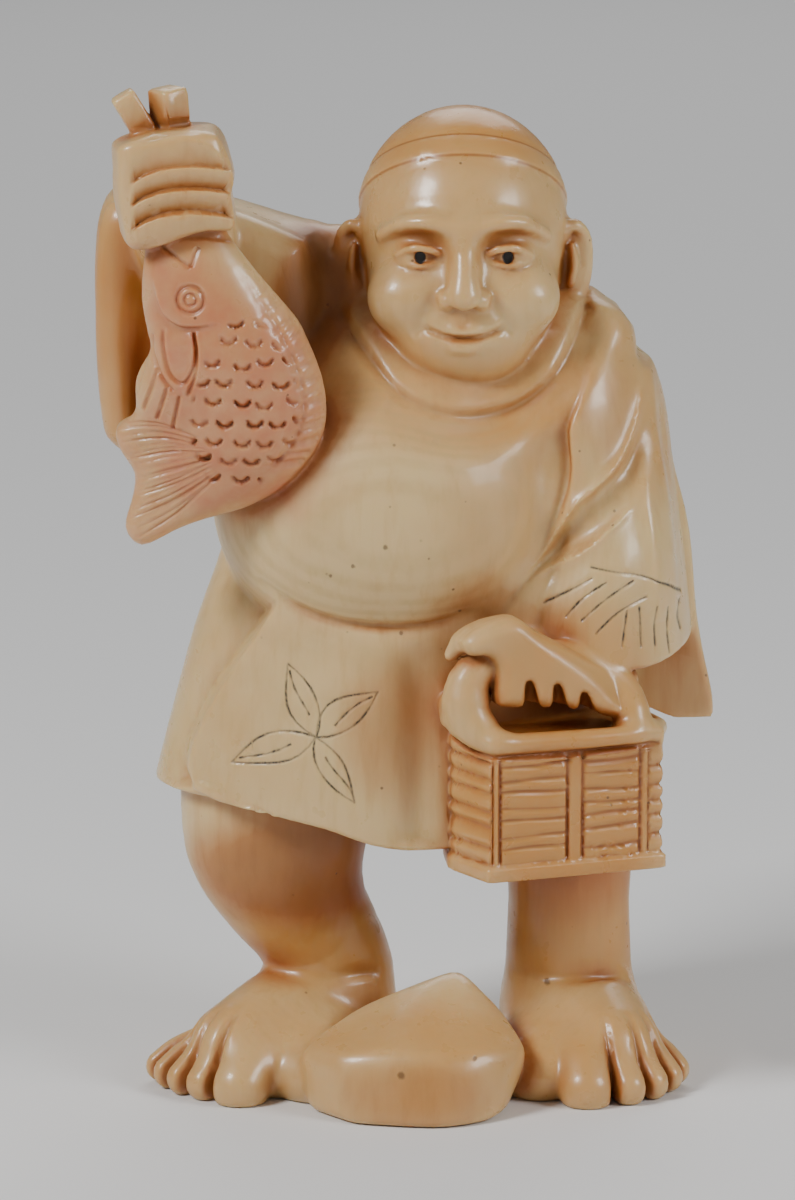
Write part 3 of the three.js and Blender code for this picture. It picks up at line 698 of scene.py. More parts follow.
legs = {
    "right": ("put", 0.2, [
        (-6.6, 0.3, 16), (-6.75, -0.2, 12.8), (-6.25, -0.2, 10.6), (-5.35, -0.1, 8.6), (-4.3, 0.2, 6.8),
        (-3.95, 0.4, 5), (-4, 0.5, 3.6),
    ], (5.2, 4.85, 4.1, 3.45, 3.15, 3.45, 3.5)),
    "left": ("put", 0.2, [(8.9, 0.6, 16), (8.8, 0.4, 9), (8.8, 0.6, 4)], (3.5, 3.2, 3.4)),
    "rightCrease": ("cut", 0.5, [
        (-7.0, -2.4, 5.9), (-5.4, -3.5, 5.7), (-3.3, -3.2, 5.7), (-1.4, -1.9, 5.5),
    ], (0.15, 0.25, 0.3, 0.2)),
    "leftCrease": ("cut", 0.5, [
        (5.5, -0.9, 5.2), (7.2, -2.8, 5.5), (9.3, -3.2, 5.6), (11.9, -1.9, 5.3),
    ], (0.15, 0.25, 0.25, 0.15)),
}

# A toe is its tip's X, Y and radius, from the big toe outwards, and all start from the foot's root.
feet = {
    "right": {
        "instep": ("put", 0.9, [(-4, 0.4, 2.5), (-6.3, -2.2, 2.3), (-8.5, -4.6, 1.75)], (3.5, 3.35, 2.9)),
        "root": (-5.6, -1.6),
        "web": ("put", 1.2, (-4.3, -4.4, 1.3), (3.3, 4.2, 2.3)),
        "toes": [
            (-8.5, -7.3, 1.65), (-10.3, -6.7, 1.1), (-11.45, -5.9, 0.98), (-12.25, -4.8, 0.92),
            (-12.75, -3.6, 0.86),
        ],
    },
    "left": {
        "instep": ("put", 0.9, [(8.8, 0.8, 2.5), (9.7, -2.0, 2.3), (10.7, -4.4, 1.75)], (3.6, 3.45, 3.0)),
        "root": (9.2, -1.2),
        "web": ("put", 1.2, (7.2, -3.8, 1.2), (2.6, 4.2, 2.3)),
        "toes": [
            (9.6, -7.7, 1.6), (11.75, -7.5, 1.1), (13.0, -6.7, 0.98), (13.85, -5.5, 0.9),
            (14.3, -4.2, 0.84),
        ],
    },
    # share of the way from the root, and height
    "toeLine": [(0.6, 2.2), (0.75, 1.85), (0.88, 1.45), (1.0, 0.85)],
    "toeRadii": (0.8, 1, 1, 0.95),
    # the grooves between the toes, as shares from the root
    "gap": {"from": 0.74, "to": 1.3, "width": 0.18, "depth": 0.55},
}


def carveLegs():
    lump = Lump((-15, -11, -1), (17, 7, 22)).form(legs, "right left")
    gap = feet["gap"]
    for side in ("right", "left"):
        foot = feet[side]
        lump.form(foot, "instep web")
        root = np.array(foot["root"])
        for x, y, radius in foot["toes"]:
            line = [(*(root + share * (np.array((x, y)) - root)), z) for share, z in feet["toeLine"]]
            lump.put(limb(line, [radius * share for share in feet["toeRadii"]]), 0.5)
        for one, other in zip(foot["toes"][:-1], foot["toes"][1:]):
            middle = np.array(one[:2]) * 0.42 + np.array(other[:2]) * 0.58
            line = [root + share * (middle - root) for share in (gap["from"], gap["to"])]
            relief = groove([line[0], np.mean(line, 0), line[1]], gap["width"], gap["depth"], (0.7, 0.02))
            lump.push((-15, -11, -1), (17, 0, 5), lambda x, y, z: relief(x, y) + 0 * z)
    return lump.form(legs, "rightCrease leftCrease")


rock = {
    "crest": [(3.0, -4.2, 6.7), (-2.5, -5, 4.8), (0, -8.2, 4.9), (5.4, -5, 4.3), (2.5, -1, 3)],
    "shoulder": [
        (-5.6, -8.6, 3.2), (-3.2, -11.0, 3.7), (0.8, -12.0, 3.7), (4.6, -11.0, 3.6), (6.8, -8.8, 3.1),
    ],
    "base": [
        (-5, -9.3, -0.4), (-2.7, -12.2, -0.4), (0.9, -12.9, -0.4), (2.4, -12.9, -0.4), (4.6, -11.6, -0.4),
        (5.3, -9.5, -0.4), (5, -3, -0.4), (-4, -3, -0.4),
    ],
    "soft": 0.75,
}


def carveRock():
    points = rock["crest"] + rock["shoulder"] + rock["base"]
    return Lump((-8, -14, -1), (9, 0, 8)).put(hull(points, rock["soft"]), 0.1)


cordHoles = {
    "bore": ("cut", 0.4, [
        (0.3, 10, 31.6), (0.3, 5.6, 30.2), (0.3, 4.6, 28), (0.3, 5.6, 25.8), (0.3, 10, 24.4),
    ], (1.5, 1.5)),
}


def carveFigure():
    figure = Lump(drawing["low"], drawing["high"])
    figure.join(carveBody()).form(jacket, "shoulder").join(carveHead(), 0.2).join(carveCloth(), 0.3)
    figure.join(carveJacketFront(), 0.3).grooves(body["creases"], (0.2, 0.1), back=-0.5, fade=1.5)
    figure.join(carveRightArm(), 0.4)
    figure.grooves((jacket["lapel"], jacket["band"]), (0.6, 0.15), back=-1.5, fade=1.5)
    for line in jacket["crests"]:
        figure.draw(crest(*line), back=-1.5, fade=1.5)
    figure.join(carveLegs(), 0.3).join(carveRock(), 0.3)
    figure.join(carveFist(), 0.3).join(carveFish(), 0.2).join(carveBasket(), 0.25).join(carveHand(), 0.15)
    underside = ((0, 0, 0), (0, 0, 0), lambda x, y, z: -z)
    return figure.form(cordHoles, "bore").keep(underside, 0.1)


def surfaceOf(lump):
    # the lump's surface as points and four-sided faces
    grid = openvdb.FloatGrid()
    grid.copyFromArray(lump.values)
    points, _, quads = grid.convertToPolygons(isovalue=0.0, adaptivity=0.0)
    return points * drawing["step"] + np.array(drawing["low"]), quads


def linked(name, data):
    thing = bpy.data.objects.new(name, data)
    bpy.context.scene.collection.objects.link(thing)
    return thing


def meshOf(name, points, faces):
    mesh = bpy.data.meshes.new(name)
    mesh.from_pydata(points, [], faces)
    return mesh


def evaluated(thing):
    # the mesh of an object with its modifiers applied
    return bpy.data.meshes.new_from_object(thing.evaluated_get(bpy.context.evaluated_depsgraph_get()))


def listed(items, name, width, kind=float):
    # a property of a mesh's vertices or loops as an array
    values = np.zeros(len(items) * width, kind)
    items.foreach_get(name, values)
    return values.reshape(-1, width)


def thinned(points, faces, count):
    # the same surface in about count triangles, larger where it is flat
    rough = linked("rough", meshOf("rough", points.tolist(), faces.tolist()))
    rough.modifiers.new("thin", "DECIMATE").ratio = count / (2 * len(faces))
    rough.modifiers.new("triangles", "TRIANGULATE")
    thin = evaluated(rough)
    found = listed(thin.vertices, "co", 3), listed(thin.loops, "vertex_index", 1, int).reshape(-1, 3)
    for leftOver in (rough.data, thin):
        bpy.data.meshes.remove(leftOver)
    return found


def sampled(values, points):
    # the block's distances at points, read between the grid's places
    place = (points - drawing["low"]) / drawing["step"]
    base = np.clip(place.astype(int), 0, np.array(values.shape) - 2)
    part = place - base
    total = np.zeros(len(points))
    for corner in np.ndindex(2, 2, 2):
        weight = np.prod(np.where(corner, part, 1 - part), axis=1)
        total += weight * values[tuple((base + corner).T)]
    return total


def normalsAt(values, points):
    reach = np.eye(3) * drawing["step"]
    slope = np.stack([sampled(values, points + d) - sampled(values, points - d) for d in reach], 1)
    return slope / (np.linalg.norm(slope, axis=1, keepdims=True) + 1e-9)


def settled(values, points):
    # points moved back onto the surface
    move = np.clip(sampled(values, points), -0.2, 0.2)[:, None]
    return points - move * normalsAt(values, points)


def missedRelief(values, starts, ends):
    # how much of the relief a straight side would miss
    normals = normalsAt(values, (starts + ends) / 2)
    first, last = drawnRelief(starts, normals), drawnRelief(ends, normals)
    missed = []
    for t in (0.25, 0.5, 0.75):
        there = drawnRelief(starts * (1 - t) + ends * t, normals)
        missed.append(np.abs(there - first * (1 - t) - last * t))
    return np.max(missed, 0)


def refined(values, points, triangles, rounds=6):
    # splits every side that is longer than wanted at its place, or that misses a part of the relief
    for _ in range(rounds):
        sides = np.sort(triangles[:, [0, 1, 1, 2, 2, 0]].reshape(-1, 2), axis=1)
        pairs, place = np.unique(sides, axis=0, return_inverse=True)
        middle = points[pairs].mean(1)
        length = np.linalg.norm(points[pairs[:, 0]] - points[pairs[:, 1]], axis=1)
        split = length > wantedSide(middle)
        marked = np.zeros(len(pairs), bool)
        for low, high in markedAreas:
            marked |= ((middle > low) & (middle < high)).all(1)
        marked = np.flatnonzero(marked & ~split & (length > meshSizes["leastSide"]))
        missed = missedRelief(values, points[pairs[marked, 0]], points[pairs[marked, 1]])
        split[marked[missed > meshSizes["error"]]] = True
        if not split.any():
            break
        number = np.full(len(pairs), -1)
        number[split] = len(points) + np.arange(split.sum())
        points = np.vstack([points, settled(values, middle[split])])
        cuts = number[place.reshape(-1, 3)]
        count = (cuts >= 0).sum(1)
        # each triangle is turned so that its first sides are the split ones
        pair = (np.argmin(cuts >= 0, 1) + 1) % 3
        first = np.where(count == 1, np.argmax(cuts >= 0, 1), np.where(count == 2, pair, 0))
        order = (first[:, None] + np.arange(3)) % 3
        a, b, c = np.take_along_axis(triangles, order, 1).T
        ab, bc, ca = np.take_along_axis(cuts, order, 1).T
        one, two, three = count == 1, count == 2, count == 3
        acrosses = [np.linalg.norm(points[p] - points[q], axis=1) for p, q in ((a, bc), (ab, c))]
        short = acrosses[0] < acrosses[1]
        rows = [triangles[count == 0]]
        for where, corners in (
            (one, (a, ab, c)), (one, (ab, b, c)), (two, (ab, b, bc)),
            (two & short, (a, ab, bc)), (two & short, (a, bc, c)),
            (two & ~short, (a, ab, c)), (two & ~short, (ab, bc, c)),
            (three, (a, ab, ca)), (three, (ab, b, bc)), (three, (ca, bc, c)), (three, (ab, bc, ca)),
        ):
            rows.append(np.stack([v[where] for v in corners], 1))
        triangles = np.vstack(rows)
    return points, triangles


def flowed(triangles, values, rounds):
    # values at the points, evened out halfway with their neighbours' in each round
    one, other = triangles[:, [0, 1, 1, 2, 2, 0]].reshape(-1, 2).T
    weight = np.bincount(one, minlength=len(values)) + np.bincount(other, minlength=len(values)) + 1e-9
    for _ in range(rounds):
        near = np.bincount(one, values[other], len(values)) + np.bincount(other, values[one], len(values))
        values = 0.5 * values + 0.5 * near / weight
    return values


# The engraved and inked marks: a spray of four leaves on the robe, and strokes over the sleeve's hem.
engraving = {
    "leafAt": (-4.5, 19.7),
    # a leaf's direction in degrees, its length, and how far its left and right lines bow out
    "leaves": [(112, 3.9, 0.8, 0.78), (37, 4.0, 0.95, 0.68), (201, 4.7, 0.72, 0.85), (-58.5, 3.9, 0.5, 0.8)],
    "hemArc": [(9.65, 28.45), (11.0, 28.2), (12.15, 27.95), (13.65, 27.25), (14.55, 26.35)],
    # the sleeve's strokes: where each starts and ends, and how far it bows
    "strokes": [
        ((9.65, 27.9), (7.25, 26.45), 0), ((10.4, 27.7), (8.35, 25.9), -0.18),
        ((11.8, 27.7), (9.15, 25.75), -0.15), ((12.5, 26.8), (9.9, 25.1), -0.26),
        ((11.5, 26.2), (11.25, 24.4), 0), ((12.15, 26.3), (12.25, 24.3), 0),
        ((13.1, 26.2), (13.0, 24.2), -0.1), ((13.7, 26.05), (13.8, 23.6), -0.1),
        ((14.35, 26.1), (14.4, 24.6), -0.14),
    ],
    "width": 0.075, "depth": 0.06, "back": -3.5,  # no line is engraved behind this depth
    "pupils": [(5.33, 44.33), (0.87, 44.33)], "pupil": 0.3, "pupilEdge": 0.08, "pupilDepth": 0.14,
    "inkShare": 0.8,  # the lines' ink against the pupils'
}


def bowed(start, direction, size, along, off):
    # a line from a start along a direction of a size, pushed aside by off
    (ax, az), (ux, uz) = start, direction
    return np.stack([ax + along * ux - off * uz / size, az + along * uz + off * ux / size], 1)


def engravedLines():
    lines = []
    along = np.linspace(0, 1, 9)
    for angle, length, left, right in engraving["leaves"]:
        direction = math.cos(math.radians(angle)), math.sin(math.radians(angle))
        for bow in (left, -right):
            off = bow * np.sin(np.pi * along ** 0.85) + 0.04 * np.sin(7 * along + angle)
            lines.append(bowed(engraving["leafAt"], direction, 1, length * along, off))
        vein = length * (0.3 + 0.6 * along)
        lines.append(bowed(engraving["leafAt"], direction, 1, vein, 0.12 * np.sin(4 * along + angle)))
    for (ax, az), (bx, bz), bow in engraving["strokes"]:
        direction = bx - ax, bz - az
        off = bow * np.sin(np.pi * along)
        lines.append(bowed((ax, az), direction, math.hypot(*direction), along, off))
    return lines + [smoothLine(engraving["hemArc"], 4)]


def engravedDistance(x, z, back):
    # distance from the nearest engraved line, and how firmly it is inked there
    nearest, firm = np.full(len(x), 9.0), np.ones(len(x))
    for i, line in enumerate(engravedLines()):
        (lowX, lowZ), (highX, highZ) = line.min(0) - 0.4, line.max(0) + 0.4
        near = np.flatnonzero((x > lowX) & (x < highX) & (z > lowZ) & (z < highZ) & back)
        if len(near):
            d, along, _ = lineDistance(line, x[near], z[near])
            closer = d < nearest[near]
            pressed = 0.55 + 0.45 * np.sin(3.1 * along * (1 + i % 3) + i) ** 2
            firm[near] = np.where(closer, pressed, firm[near])
            nearest[near] = np.minimum(nearest[near], d)
    return nearest, firm


fishMarks = {
    "gill": [(-12.75, 43.9), (-12.5, 42.7), (-12.1, 41.9), (-11.4, 41.45), (-10.4, 41.4), (-9.2, 41.6)],
    # widths and depths: the gill cover's drop and rise, the mouth's cut, and the fins' cuts and ridges
    "gillDrop": (0.7, 0.34), "gillRise": (0.5, 0.08), "mouthCut": (0.11, 0.13), "finCut": (0.1, 0.2),
    "finRidge": (0.28, 0.1), "backDrop": (0.25, 0.1),
    "eye": (-10.72, 42.87),
    "eyeRings": [(0.68, 0.11, 0.16), (0.3, 0.08, 0.13)],  # radius, width and depth of each cut ring
    "mouth": [[(-12.2, 45.55), (-10.7, 44.45)], [(-10.7, 44.5), (-10.3, 45.5)]],
    "fins": [
        [
            (-12.2, 41.3), (-12.1, 40.2), (-11.75, 39.0), (-11.1, 38.55), (-10.6, 39.3), (-10.45, 40.3),
            (-10.6, 41.2),
        ],
        [(-10.6, 41.2), (-10.4, 40.2), (-10.5, 39.0), (-10.9, 37.9)],
        [(-12.7, 41.0), (-12.6, 39.9), (-12.1, 38.7), (-11.6, 38.1)],
        [(-12.9, 40.2), (-13.2, 38.9), (-13.7, 37.5)],
        [(-12.4, 39.2), (-12.8, 38.0), (-13.2, 36.9)],
        [(-11.9, 38.3), (-12.2, 37.4), (-12.5, 36.5)],
        [(-11.3, 37.9), (-11.5, 36.9), (-11.7, 36.0)],
    ],
    "back": [
        (-8.4, 44.6), (-7.3, 42.9), (-6.1, 41.1), (-5.3, 39.2), (-4.95, 37.6), (-5.2, 36.1), (-6.0, 34.7),
        (-7.4, 33.5),
    ],
    "backOut": [
        (-7.0, 45.0), (-5.9, 43.0), (-4.9, 41.0), (-4.2, 39.0), (-3.9, 37.4), (-4.2, 35.6), (-5.3, 34.0),
        (-7.2, 32.6),
    ],
    "backRays": 22, "behind": -6.6,  # the number of fin rays on its back, and the depth of its hind side
    "tailRoot": [(-10.2, 35.6), (-9.7, 34.6), (-9.4, 33.4)],
    "tailTips": [
        (-14.3, 36.2), (-14.5, 35.3), (-13.9, 34.3), (-13.5, 33.3), (-13.8, 32.3), (-14.2, 31.1),
        (-13.6, 29.9),
    ],
    "tailRays": 21,
    "scaleArea": [
        (-9.4, 41.4), (-7.6, 42.0), (-6.4, 40.8), (-5.6, 39.2), (-5.2, 37.4), (-5.3, 35.8), (-6.2, 34.1),
        (-7.6, 33.0), (-9.4, 32.8), (-10.2, 34.0), (-11.0, 36.0), (-10.6, 37.6), (-10.1, 39.4),
    ],
    "skin": [
        (-13.2, 45.6), (-10.0, 45.2), (-8.2, 43.6), (-4.2, 41.0), (-3.4, 36.2), (-5.6, 31.8), (-10.5, 30.8),
        (-12.8, 33.0), (-13.4, 36.2), (-12.8, 39.6), (-13.4, 42.6),
    ],
}

fistMarks = {
    # each finger's upper edge stands out, and it slopes in again down to the next one
    "lift": [
        (-14.4, -0.35), (-13.6, 0.0), (-12.9, 0.42), (-12.2, 0.68), (-11.6, 0.8), (-10.6, 0.86),
        (-9.8, 0.8), (-8.8, 0.62), (-7.8, 0.4),
    ],
    "edges": (50.35, 48.77, 47.62, 46.39, 45.0),
    "depths": (0.4, 0.48, 0.48, 0.1),
    "bank": 0.14,  # height of the slope from the recess up to the next edge
    "left": -13.75, "leftFade": 0.35, "right": -7.6, "rightFade": 0.6,  # how far across the fingers reach
    # the dip over the first finger
    "top": {"at": -11.6, "half": 1.5, "above": 0.26, "width": 0.24, "depth": 0.2},
    "edgeCut": (0.22, 0.12),  # width and depth of the palm's and the thumb's edges
    "palmEdge": [(-13.7, 49.7), (-13.85, 47.6), (-13.5, 45.4)],
    "thumb": [(-11.9, 51.3), (-10.2, 50.9), (-9.2, 50.2), (-8.8, 49.4)],
}


def fingerRelief(x, z):
    f = fistMarks
    height = z - np.interp(x, *zip(*f["lift"]))
    total = np.zeros(len(x))
    for top, bottom, depth in zip(f["edges"][:-1], f["edges"][1:], f["depths"]):
        share = np.clip((top - height) / (top - bottom - f["bank"]), 0, None)
        bank = rising(height - bottom, f["bank"])
        inside = (height < top) & (height >= bottom)
        total = np.where(inside, depth * np.minimum(share, 1) ** 1.5 * bank, total)
    shown = rising(x - f["left"], f["leftFade"]) * rising(f["right"] - x, f["rightFade"])
    top = f["top"]
    over = np.exp(-((height - f["edges"][0] - top["above"]) / top["width"]) ** 2)
    total += top["depth"] * (over * np.clip(1.5 - 1.5 * ((x - top["at"]) / top["half"]) ** 2, 0, 1))
    edge = groove(f["palmEdge"], *f["edgeCut"])(x, z) - groove(f["thumb"], *f["edgeCut"])(x, z)
    return total * shown + edge


def fishRelief(x, z):
    f = fishMarks
    ends, gillEnds = (0.05, 0.05), (0.3, 0.35)
    total = step(f["gill"], -1, *f["gillDrop"], gillEnds)(x, z)
    total = total - step(f["gill"], 1, *f["gillRise"], gillEnds)(x, z)
    away = np.hypot(x - f["eye"][0], z - f["eye"][1])
    total += sum(depth * np.exp(-((away - radius) / width) ** 2) for radius, width, depth in f["eyeRings"])
    for line in f["mouth"]:
        total += groove(line, *f["mouthCut"], ends)(x, z)
    for fin in f["fins"]:
        total += groove(fin, *f["finCut"], ends)(x, z) - groove(fin, *f["finRidge"], ends)(x, z)
    inner, outer = smoothLine(f["back"], 8), smoothLine(f["backOut"], 8)
    total += step(f["back"], -1, *f["backDrop"])(x, z)
    for i in range(f["backRays"]):
        t = 0.16 + 0.8 * (i + 0.3 * math.sin(2.3 * i)) / f["backRays"]
        tip = outer[int(max(t - 0.06, 0) * (len(outer) - 1))]
        start = inner[int(t * (len(inner) - 1))]
        start = start + (start - tip) * (0.15 + 0.35 * math.sin(1.7 * i) ** 2)
        total += step([start, (start + tip) / 2, tip], 1, 0.16, 0.05 + 0.08 * t, (0.25, 0.05))(x, z)
    roots, tips = smoothLine(f["tailRoot"], 6), smoothLine(f["tailTips"], 6)
    for t in np.linspace(0.02, 0.98, f["tailRays"]):
        root, tip = roots[int(t * (len(roots) - 1))], tips[int(t * (len(tips) - 1))]
        middle = root * 0.5 + tip * 0.5 + (0, 0.35 * math.cos(math.pi * t))
        total += groove([root, middle, tip], 0.07, 0.085 + 0.03 * math.sin(40 * t), (0.4, 0.3))(x, z)
    return total


def inside(outline, x, z, soft=0.3):
    # one within an outline of the front view, nought outside it
    return np.clip(0.5 - outlineDistance(np.array(outline, float), x, z) / soft, 0, 1)


def pupils(x, y, z):
    # one within the small inked eyes, nought round them
    away = np.min([np.hypot(x - px, z - pz) for px, pz in engraving["pupils"]], 0)
    return np.clip((engraving["pupil"] - away) / engraving["pupilEdge"] + 0.5, 0, 1) * (y < -4)


def facing(normals):
    # one where the surface faces the front, nought where it turns away
    return rising(-normals[:, 1] - 0.05, 0.3)


def drawnRelief(points, normals):
    # how far the fist's, the fish's and the engraved marks sink the surface
    x, y, z = points.T
    total = np.zeros(len(points))
    for relief, low, high in ((fingerRelief, *reliefAreas["fist"]), (fishRelief, *reliefAreas["fish"])):
        area = np.flatnonzero((points > low).all(1) & (points < high).all(1))
        total[area] += relief(x[area], z[area]) * facing(normals[area])
    distance, _ = engravedDistance(x, z, y < engraving["back"])
    total = total + engraving["depth"] * np.exp(-(distance / engraving["width"]) ** 2)
    return total + engraving["pupilDepth"] * pupils(x, y, z)


# The boxes that hold the drawn marks of the fist and of the fish: low and high corners.
reliefAreas = {
    "fist": ((-99, -99, 44.6), (-7.4, -6.2, 51.8)),
    "fish": ((-99, -99, 29.2), (-3.4, fishMarks["behind"], 46.4)),
}

# Where the mesh has to be finer: a box's low and high corners and its longest side.
fineAreas = {
    "scales": ((-11.2, -13, 32.4), (-4.9, -7.2, 42.0), 0.16),
    "fish": ((-15.2, -13, 29.2), (-3.4, -7.2, 44.8), 0.27),
    "basketFront": ((4.2, -13, 13.4), (14.2, -7.5, 19.6), 0.22),
    "basketSide": ((2.3, -11.5, 13.4), (4.4, -5.4, 19.9), 0.22),
    "basketFarSide": ((11.0, -9, 13.4), (14.8, -3, 19.6), 0.3),
    "face": ((-1.6, -9, 38), (7.8, -4.2, 47.5), 0.32),
    "hand": ((2, -13, 20.2), (12.6, -7.4, 26.8), 0.4),
    "sleeveFolds": ((5, -10, 26), (12.9, -3.2, 37.6), 0.21),
    "toes": ((-15, -11, 0), (16, -3, 5), 0.55),
}
# the boxes that hold the fist and the fish, the leaves, and the sleeve's strokes
markedAreas = [
    ((0.2, -9, 43.6), (6, -4, 45)), ((-16, -14, 29), (-3, -6, 52)), ((-10.4, -11, 14.6), (0.6, -3, 24.6)),
    ((6.4, -10, 22.8), (15.4, -3, 29.4)),
]
meshSizes = {"triangles": 52000, "mostSide": 0.95, "leastSide": 0.07, "error": 0.011}


def wantedSide(points):
    side = np.full(len(points), meshSizes["mostSide"])
    for low, high, size in fineAreas.values():
        within = ((points > low) & (points < high)).all(1)
        side = np.where(within, np.minimum(side, size), side)
    return side


figure = carveFigure()
print("figure carved")
points, quads = surfaceOf(figure)
points, triangles = thinned(points, quads, meshSizes["triangles"])
points = settled(figure.values, points)
print("thinned to", len(triangles), "triangles")
points, triangles = refined(figure.values, points, triangles)
print("refined to", len(triangles), "triangles")

normals = normalsAt(figure.values, points)
x, y, z = points.T
inkDistance, inkFirm = engravedDistance(x, z, y < engraving["back"])
inkShape = np.exp(-(inkDistance / engraving["width"]) ** 2)
points = points - normals * drawnRelief(points, normals)[:, None]
points[:, 2] = np.maximum(points[:, 2], 0)
mesh = meshOf("figure", ((points - drawing["middle"]) / 1000).tolist(), triangles.tolist())
piece = linked("netsuke", mesh)
mesh.shade_smooth()
print("relief drawn")


def keepValues(name, values):
    # values at the mesh's points, for its nodes and its material
    kept = mesh.attributes.new(name, "FLOAT", "POINT")
    kept.data.foreach_set("value", np.ascontiguousarray(values, np.float32))


def linear(colour):
    # an sRGB hex colour as linear values
    parts = [int(colour[i:i + 2], 16) / 255 for i in (1, 3, 5)]
    return [c / 12.92 if c <= 0.04045 else ((c + 0.055) / 1.055) ** 2.4 for c in parts] + [1.0]


def addNode(tree, kind, inputs=(), **settings):
    # a node with its settings and its inputs, given in order or by name
    node = tree.nodes.new(kind)
    for name, value in settings.items():
        setattr(node, name, value)
    for name, value in (inputs.items() if isinstance(inputs, dict) else enumerate(inputs)):
        if isinstance(value, Output):
            tree.links.new(value.socket, node.inputs[name])
        elif value is not None:
            node.inputs[name].default_value = value
    return node


def output(tree, kind, inputs=(), name=0, **settings):
    # one output of a new node
    return Output(addNode(tree, kind, inputs, **settings).outputs[name])


def maths(operation, *values, tree=None):
    # a Math node over outputs and numbers
    tree = tree or next(value for value in values if isinstance(value, Output)).socket.id_data
    return output(tree, "ShaderNodeMath", values, operation=operation)


class Output:
    # a node's output, to calculate with in plain sums

    def __init__(self, socket):
        self.socket = socket

    __add__ = __radd__ = lambda self, other: maths("ADD", self, other)
    __sub__ = lambda self, other: maths("SUBTRACT", self, other)
    __rsub__ = lambda self, other: maths("SUBTRACT", other, self)
    __mul__ = __rmul__ = lambda self, other: maths("MULTIPLY", self, other)
    __truediv__ = lambda self, other: maths("DIVIDE", self, other)
    __pow__ = lambda self, other: maths("POWER", self, other)
    __rpow__ = lambda self, other: maths("POWER", other, self)
    __gt__ = lambda self, other: maths("GREATER_THAN", self, other)
    __lt__ = lambda self, other: maths("LESS_THAN", self, other)
    __abs__ = lambda self: maths("ABSOLUTE", self)


def vectorMaths(tree, operation, *values, name=0):
    return output(tree, "ShaderNodeVectorMath", values, name, operation=operation)


def scaledVector(tree, vector, factor):
    return output(tree, "ShaderNodeVectorMath", {0: vector, "Scale": factor}, operation="SCALE")


def split(tree, vector):
    # a vector's three parts
    node = addNode(tree, "ShaderNodeSeparateXYZ", [vector])
    return [Output(part) for part in node.outputs]


def joined(tree, *parts):
    return output(tree, "ShaderNodeCombineXYZ", parts)


def newTree(name, sizes):
    # a node group over a mesh, with a named input for each size
    tree = bpy.data.node_groups.new(name, "GeometryNodeTree")
    for way in ("INPUT", "OUTPUT"):
        tree.interface.new_socket("Mesh", in_out=way, socket_type="NodeSocketGeometry")
    for title in sizes:
        tree.interface.new_socket(title, in_out="INPUT", socket_type="NodeSocketFloat")
    return tree, {socket.name: Output(socket) for socket in addNode(tree, "NodeGroupInput").outputs}


def readValue(tree, name):
    return output(tree, "GeometryNodeInputNamedAttribute", {"Name": name}, "Attribute", data_type="FLOAT")


def endTree(tree, given, sink, material, name):
    # sinks the surface by millimetres along its normal, keeps the depth under a name and ends the group
    offset = scaledVector(tree, output(tree, "GeometryNodeInputNormal"), sink * -0.001)
    store = {"Geometry": given["Mesh"], "Name": name, "Value": sink}
    kept = output(tree, "GeometryNodeStoreNamedAttribute", store, data_type="FLOAT")
    moved = output(tree, "GeometryNodeSetPosition", {"Geometry": kept, "Offset": offset})
    whole = output(tree, "GeometryNodeRealizeInstances", [moved])
    finished = output(tree, "GeometryNodeSetMaterial", {"Geometry": whole, "Material": material})
    addNode(tree, "NodeGroupOutput", [finished])
    return tree


def addTree(tree, sizes):
    modifier = piece.modifiers.new(tree.name, "NODES")
    modifier.node_group = tree
    for item in tree.interface.items_tree:
        if item.in_out == "INPUT" and item.name in sizes:
            modifier[item.identifier] = sizes[item.name]


# The fish's scales are gouge marks in staggered rows (millimetres).
scaleMarks = {"Across": 1.3, "Down": 1.02, "Radius": 0.43, "Depth": 0.3, "Uneven": 0.38, "Seed": 4.0}


def scaleTree(material):
    tree, given = newTree("scaleMarks", scaleMarks)
    x, _, z = split(tree, output(tree, "GeometryNodeInputPosition"))
    across, down = x * 1000 / given["Across"], z * 1000 / given["Down"]
    row = maths("ROUND", down)
    shifted = across - maths("MODULO", row, 2) * 0.5
    column = maths("ROUND", shifted)
    number = joined(tree, column, row, given["Seed"])
    chance = split(tree, output(tree, "ShaderNodeTexWhiteNoise", [number], "Color"))
    dx = (shifted - column) * given["Across"] + (chance[0] - 0.5) * given["Uneven"]
    dz = (down - row) * given["Down"] + (chance[1] - 0.5) * given["Uneven"]
    share = maths("SQRT", dx ** 2 + (dz * 1.15) ** 2) / given["Radius"]
    bowl = maths("SMOOTH_MIN", share ** 2, (1.12 - share) * 6, 0.1)  # a round dip with a soft rim
    fade = [dz / given["Radius"], 0.35, -0.25, 0.0, 1.0]
    lower = output(tree, "ShaderNodeMapRange", fade, interpolation_type="SMOOTHSTEP")  # only its lower half
    depth = given["Depth"] * (chance[2] * 0.5 + 0.65)
    sink = maths("MAXIMUM", bowl, 0) * lower * (depth * readValue(tree, "scales"))
    return endTree(tree, given, sink, material, "scaleCut")


# The basket's woven slats, in millimetres from its middle and its underside.
weave = {
    "Slat": 0.92, "Slat Depth": 0.26, "Line": 0.74, "Line Depth": 0.2, "Line Width": 0.09, "Foot": 0.98,
    "Uneven": 1.1, "Left Post": -4.42, "Left Half": 0.2, "Middle Post": -0.12, "Middle Half": 0.42,
    "Right Post": 3.72, "Right Half": 0.25, "Turn": basket["turn"],
    "Middle X": basket["at"][0] - drawing["middle"][0], "Middle Y": basket["at"][1] - drawing["middle"][1],
    "Underside": basket["at"][2],
}


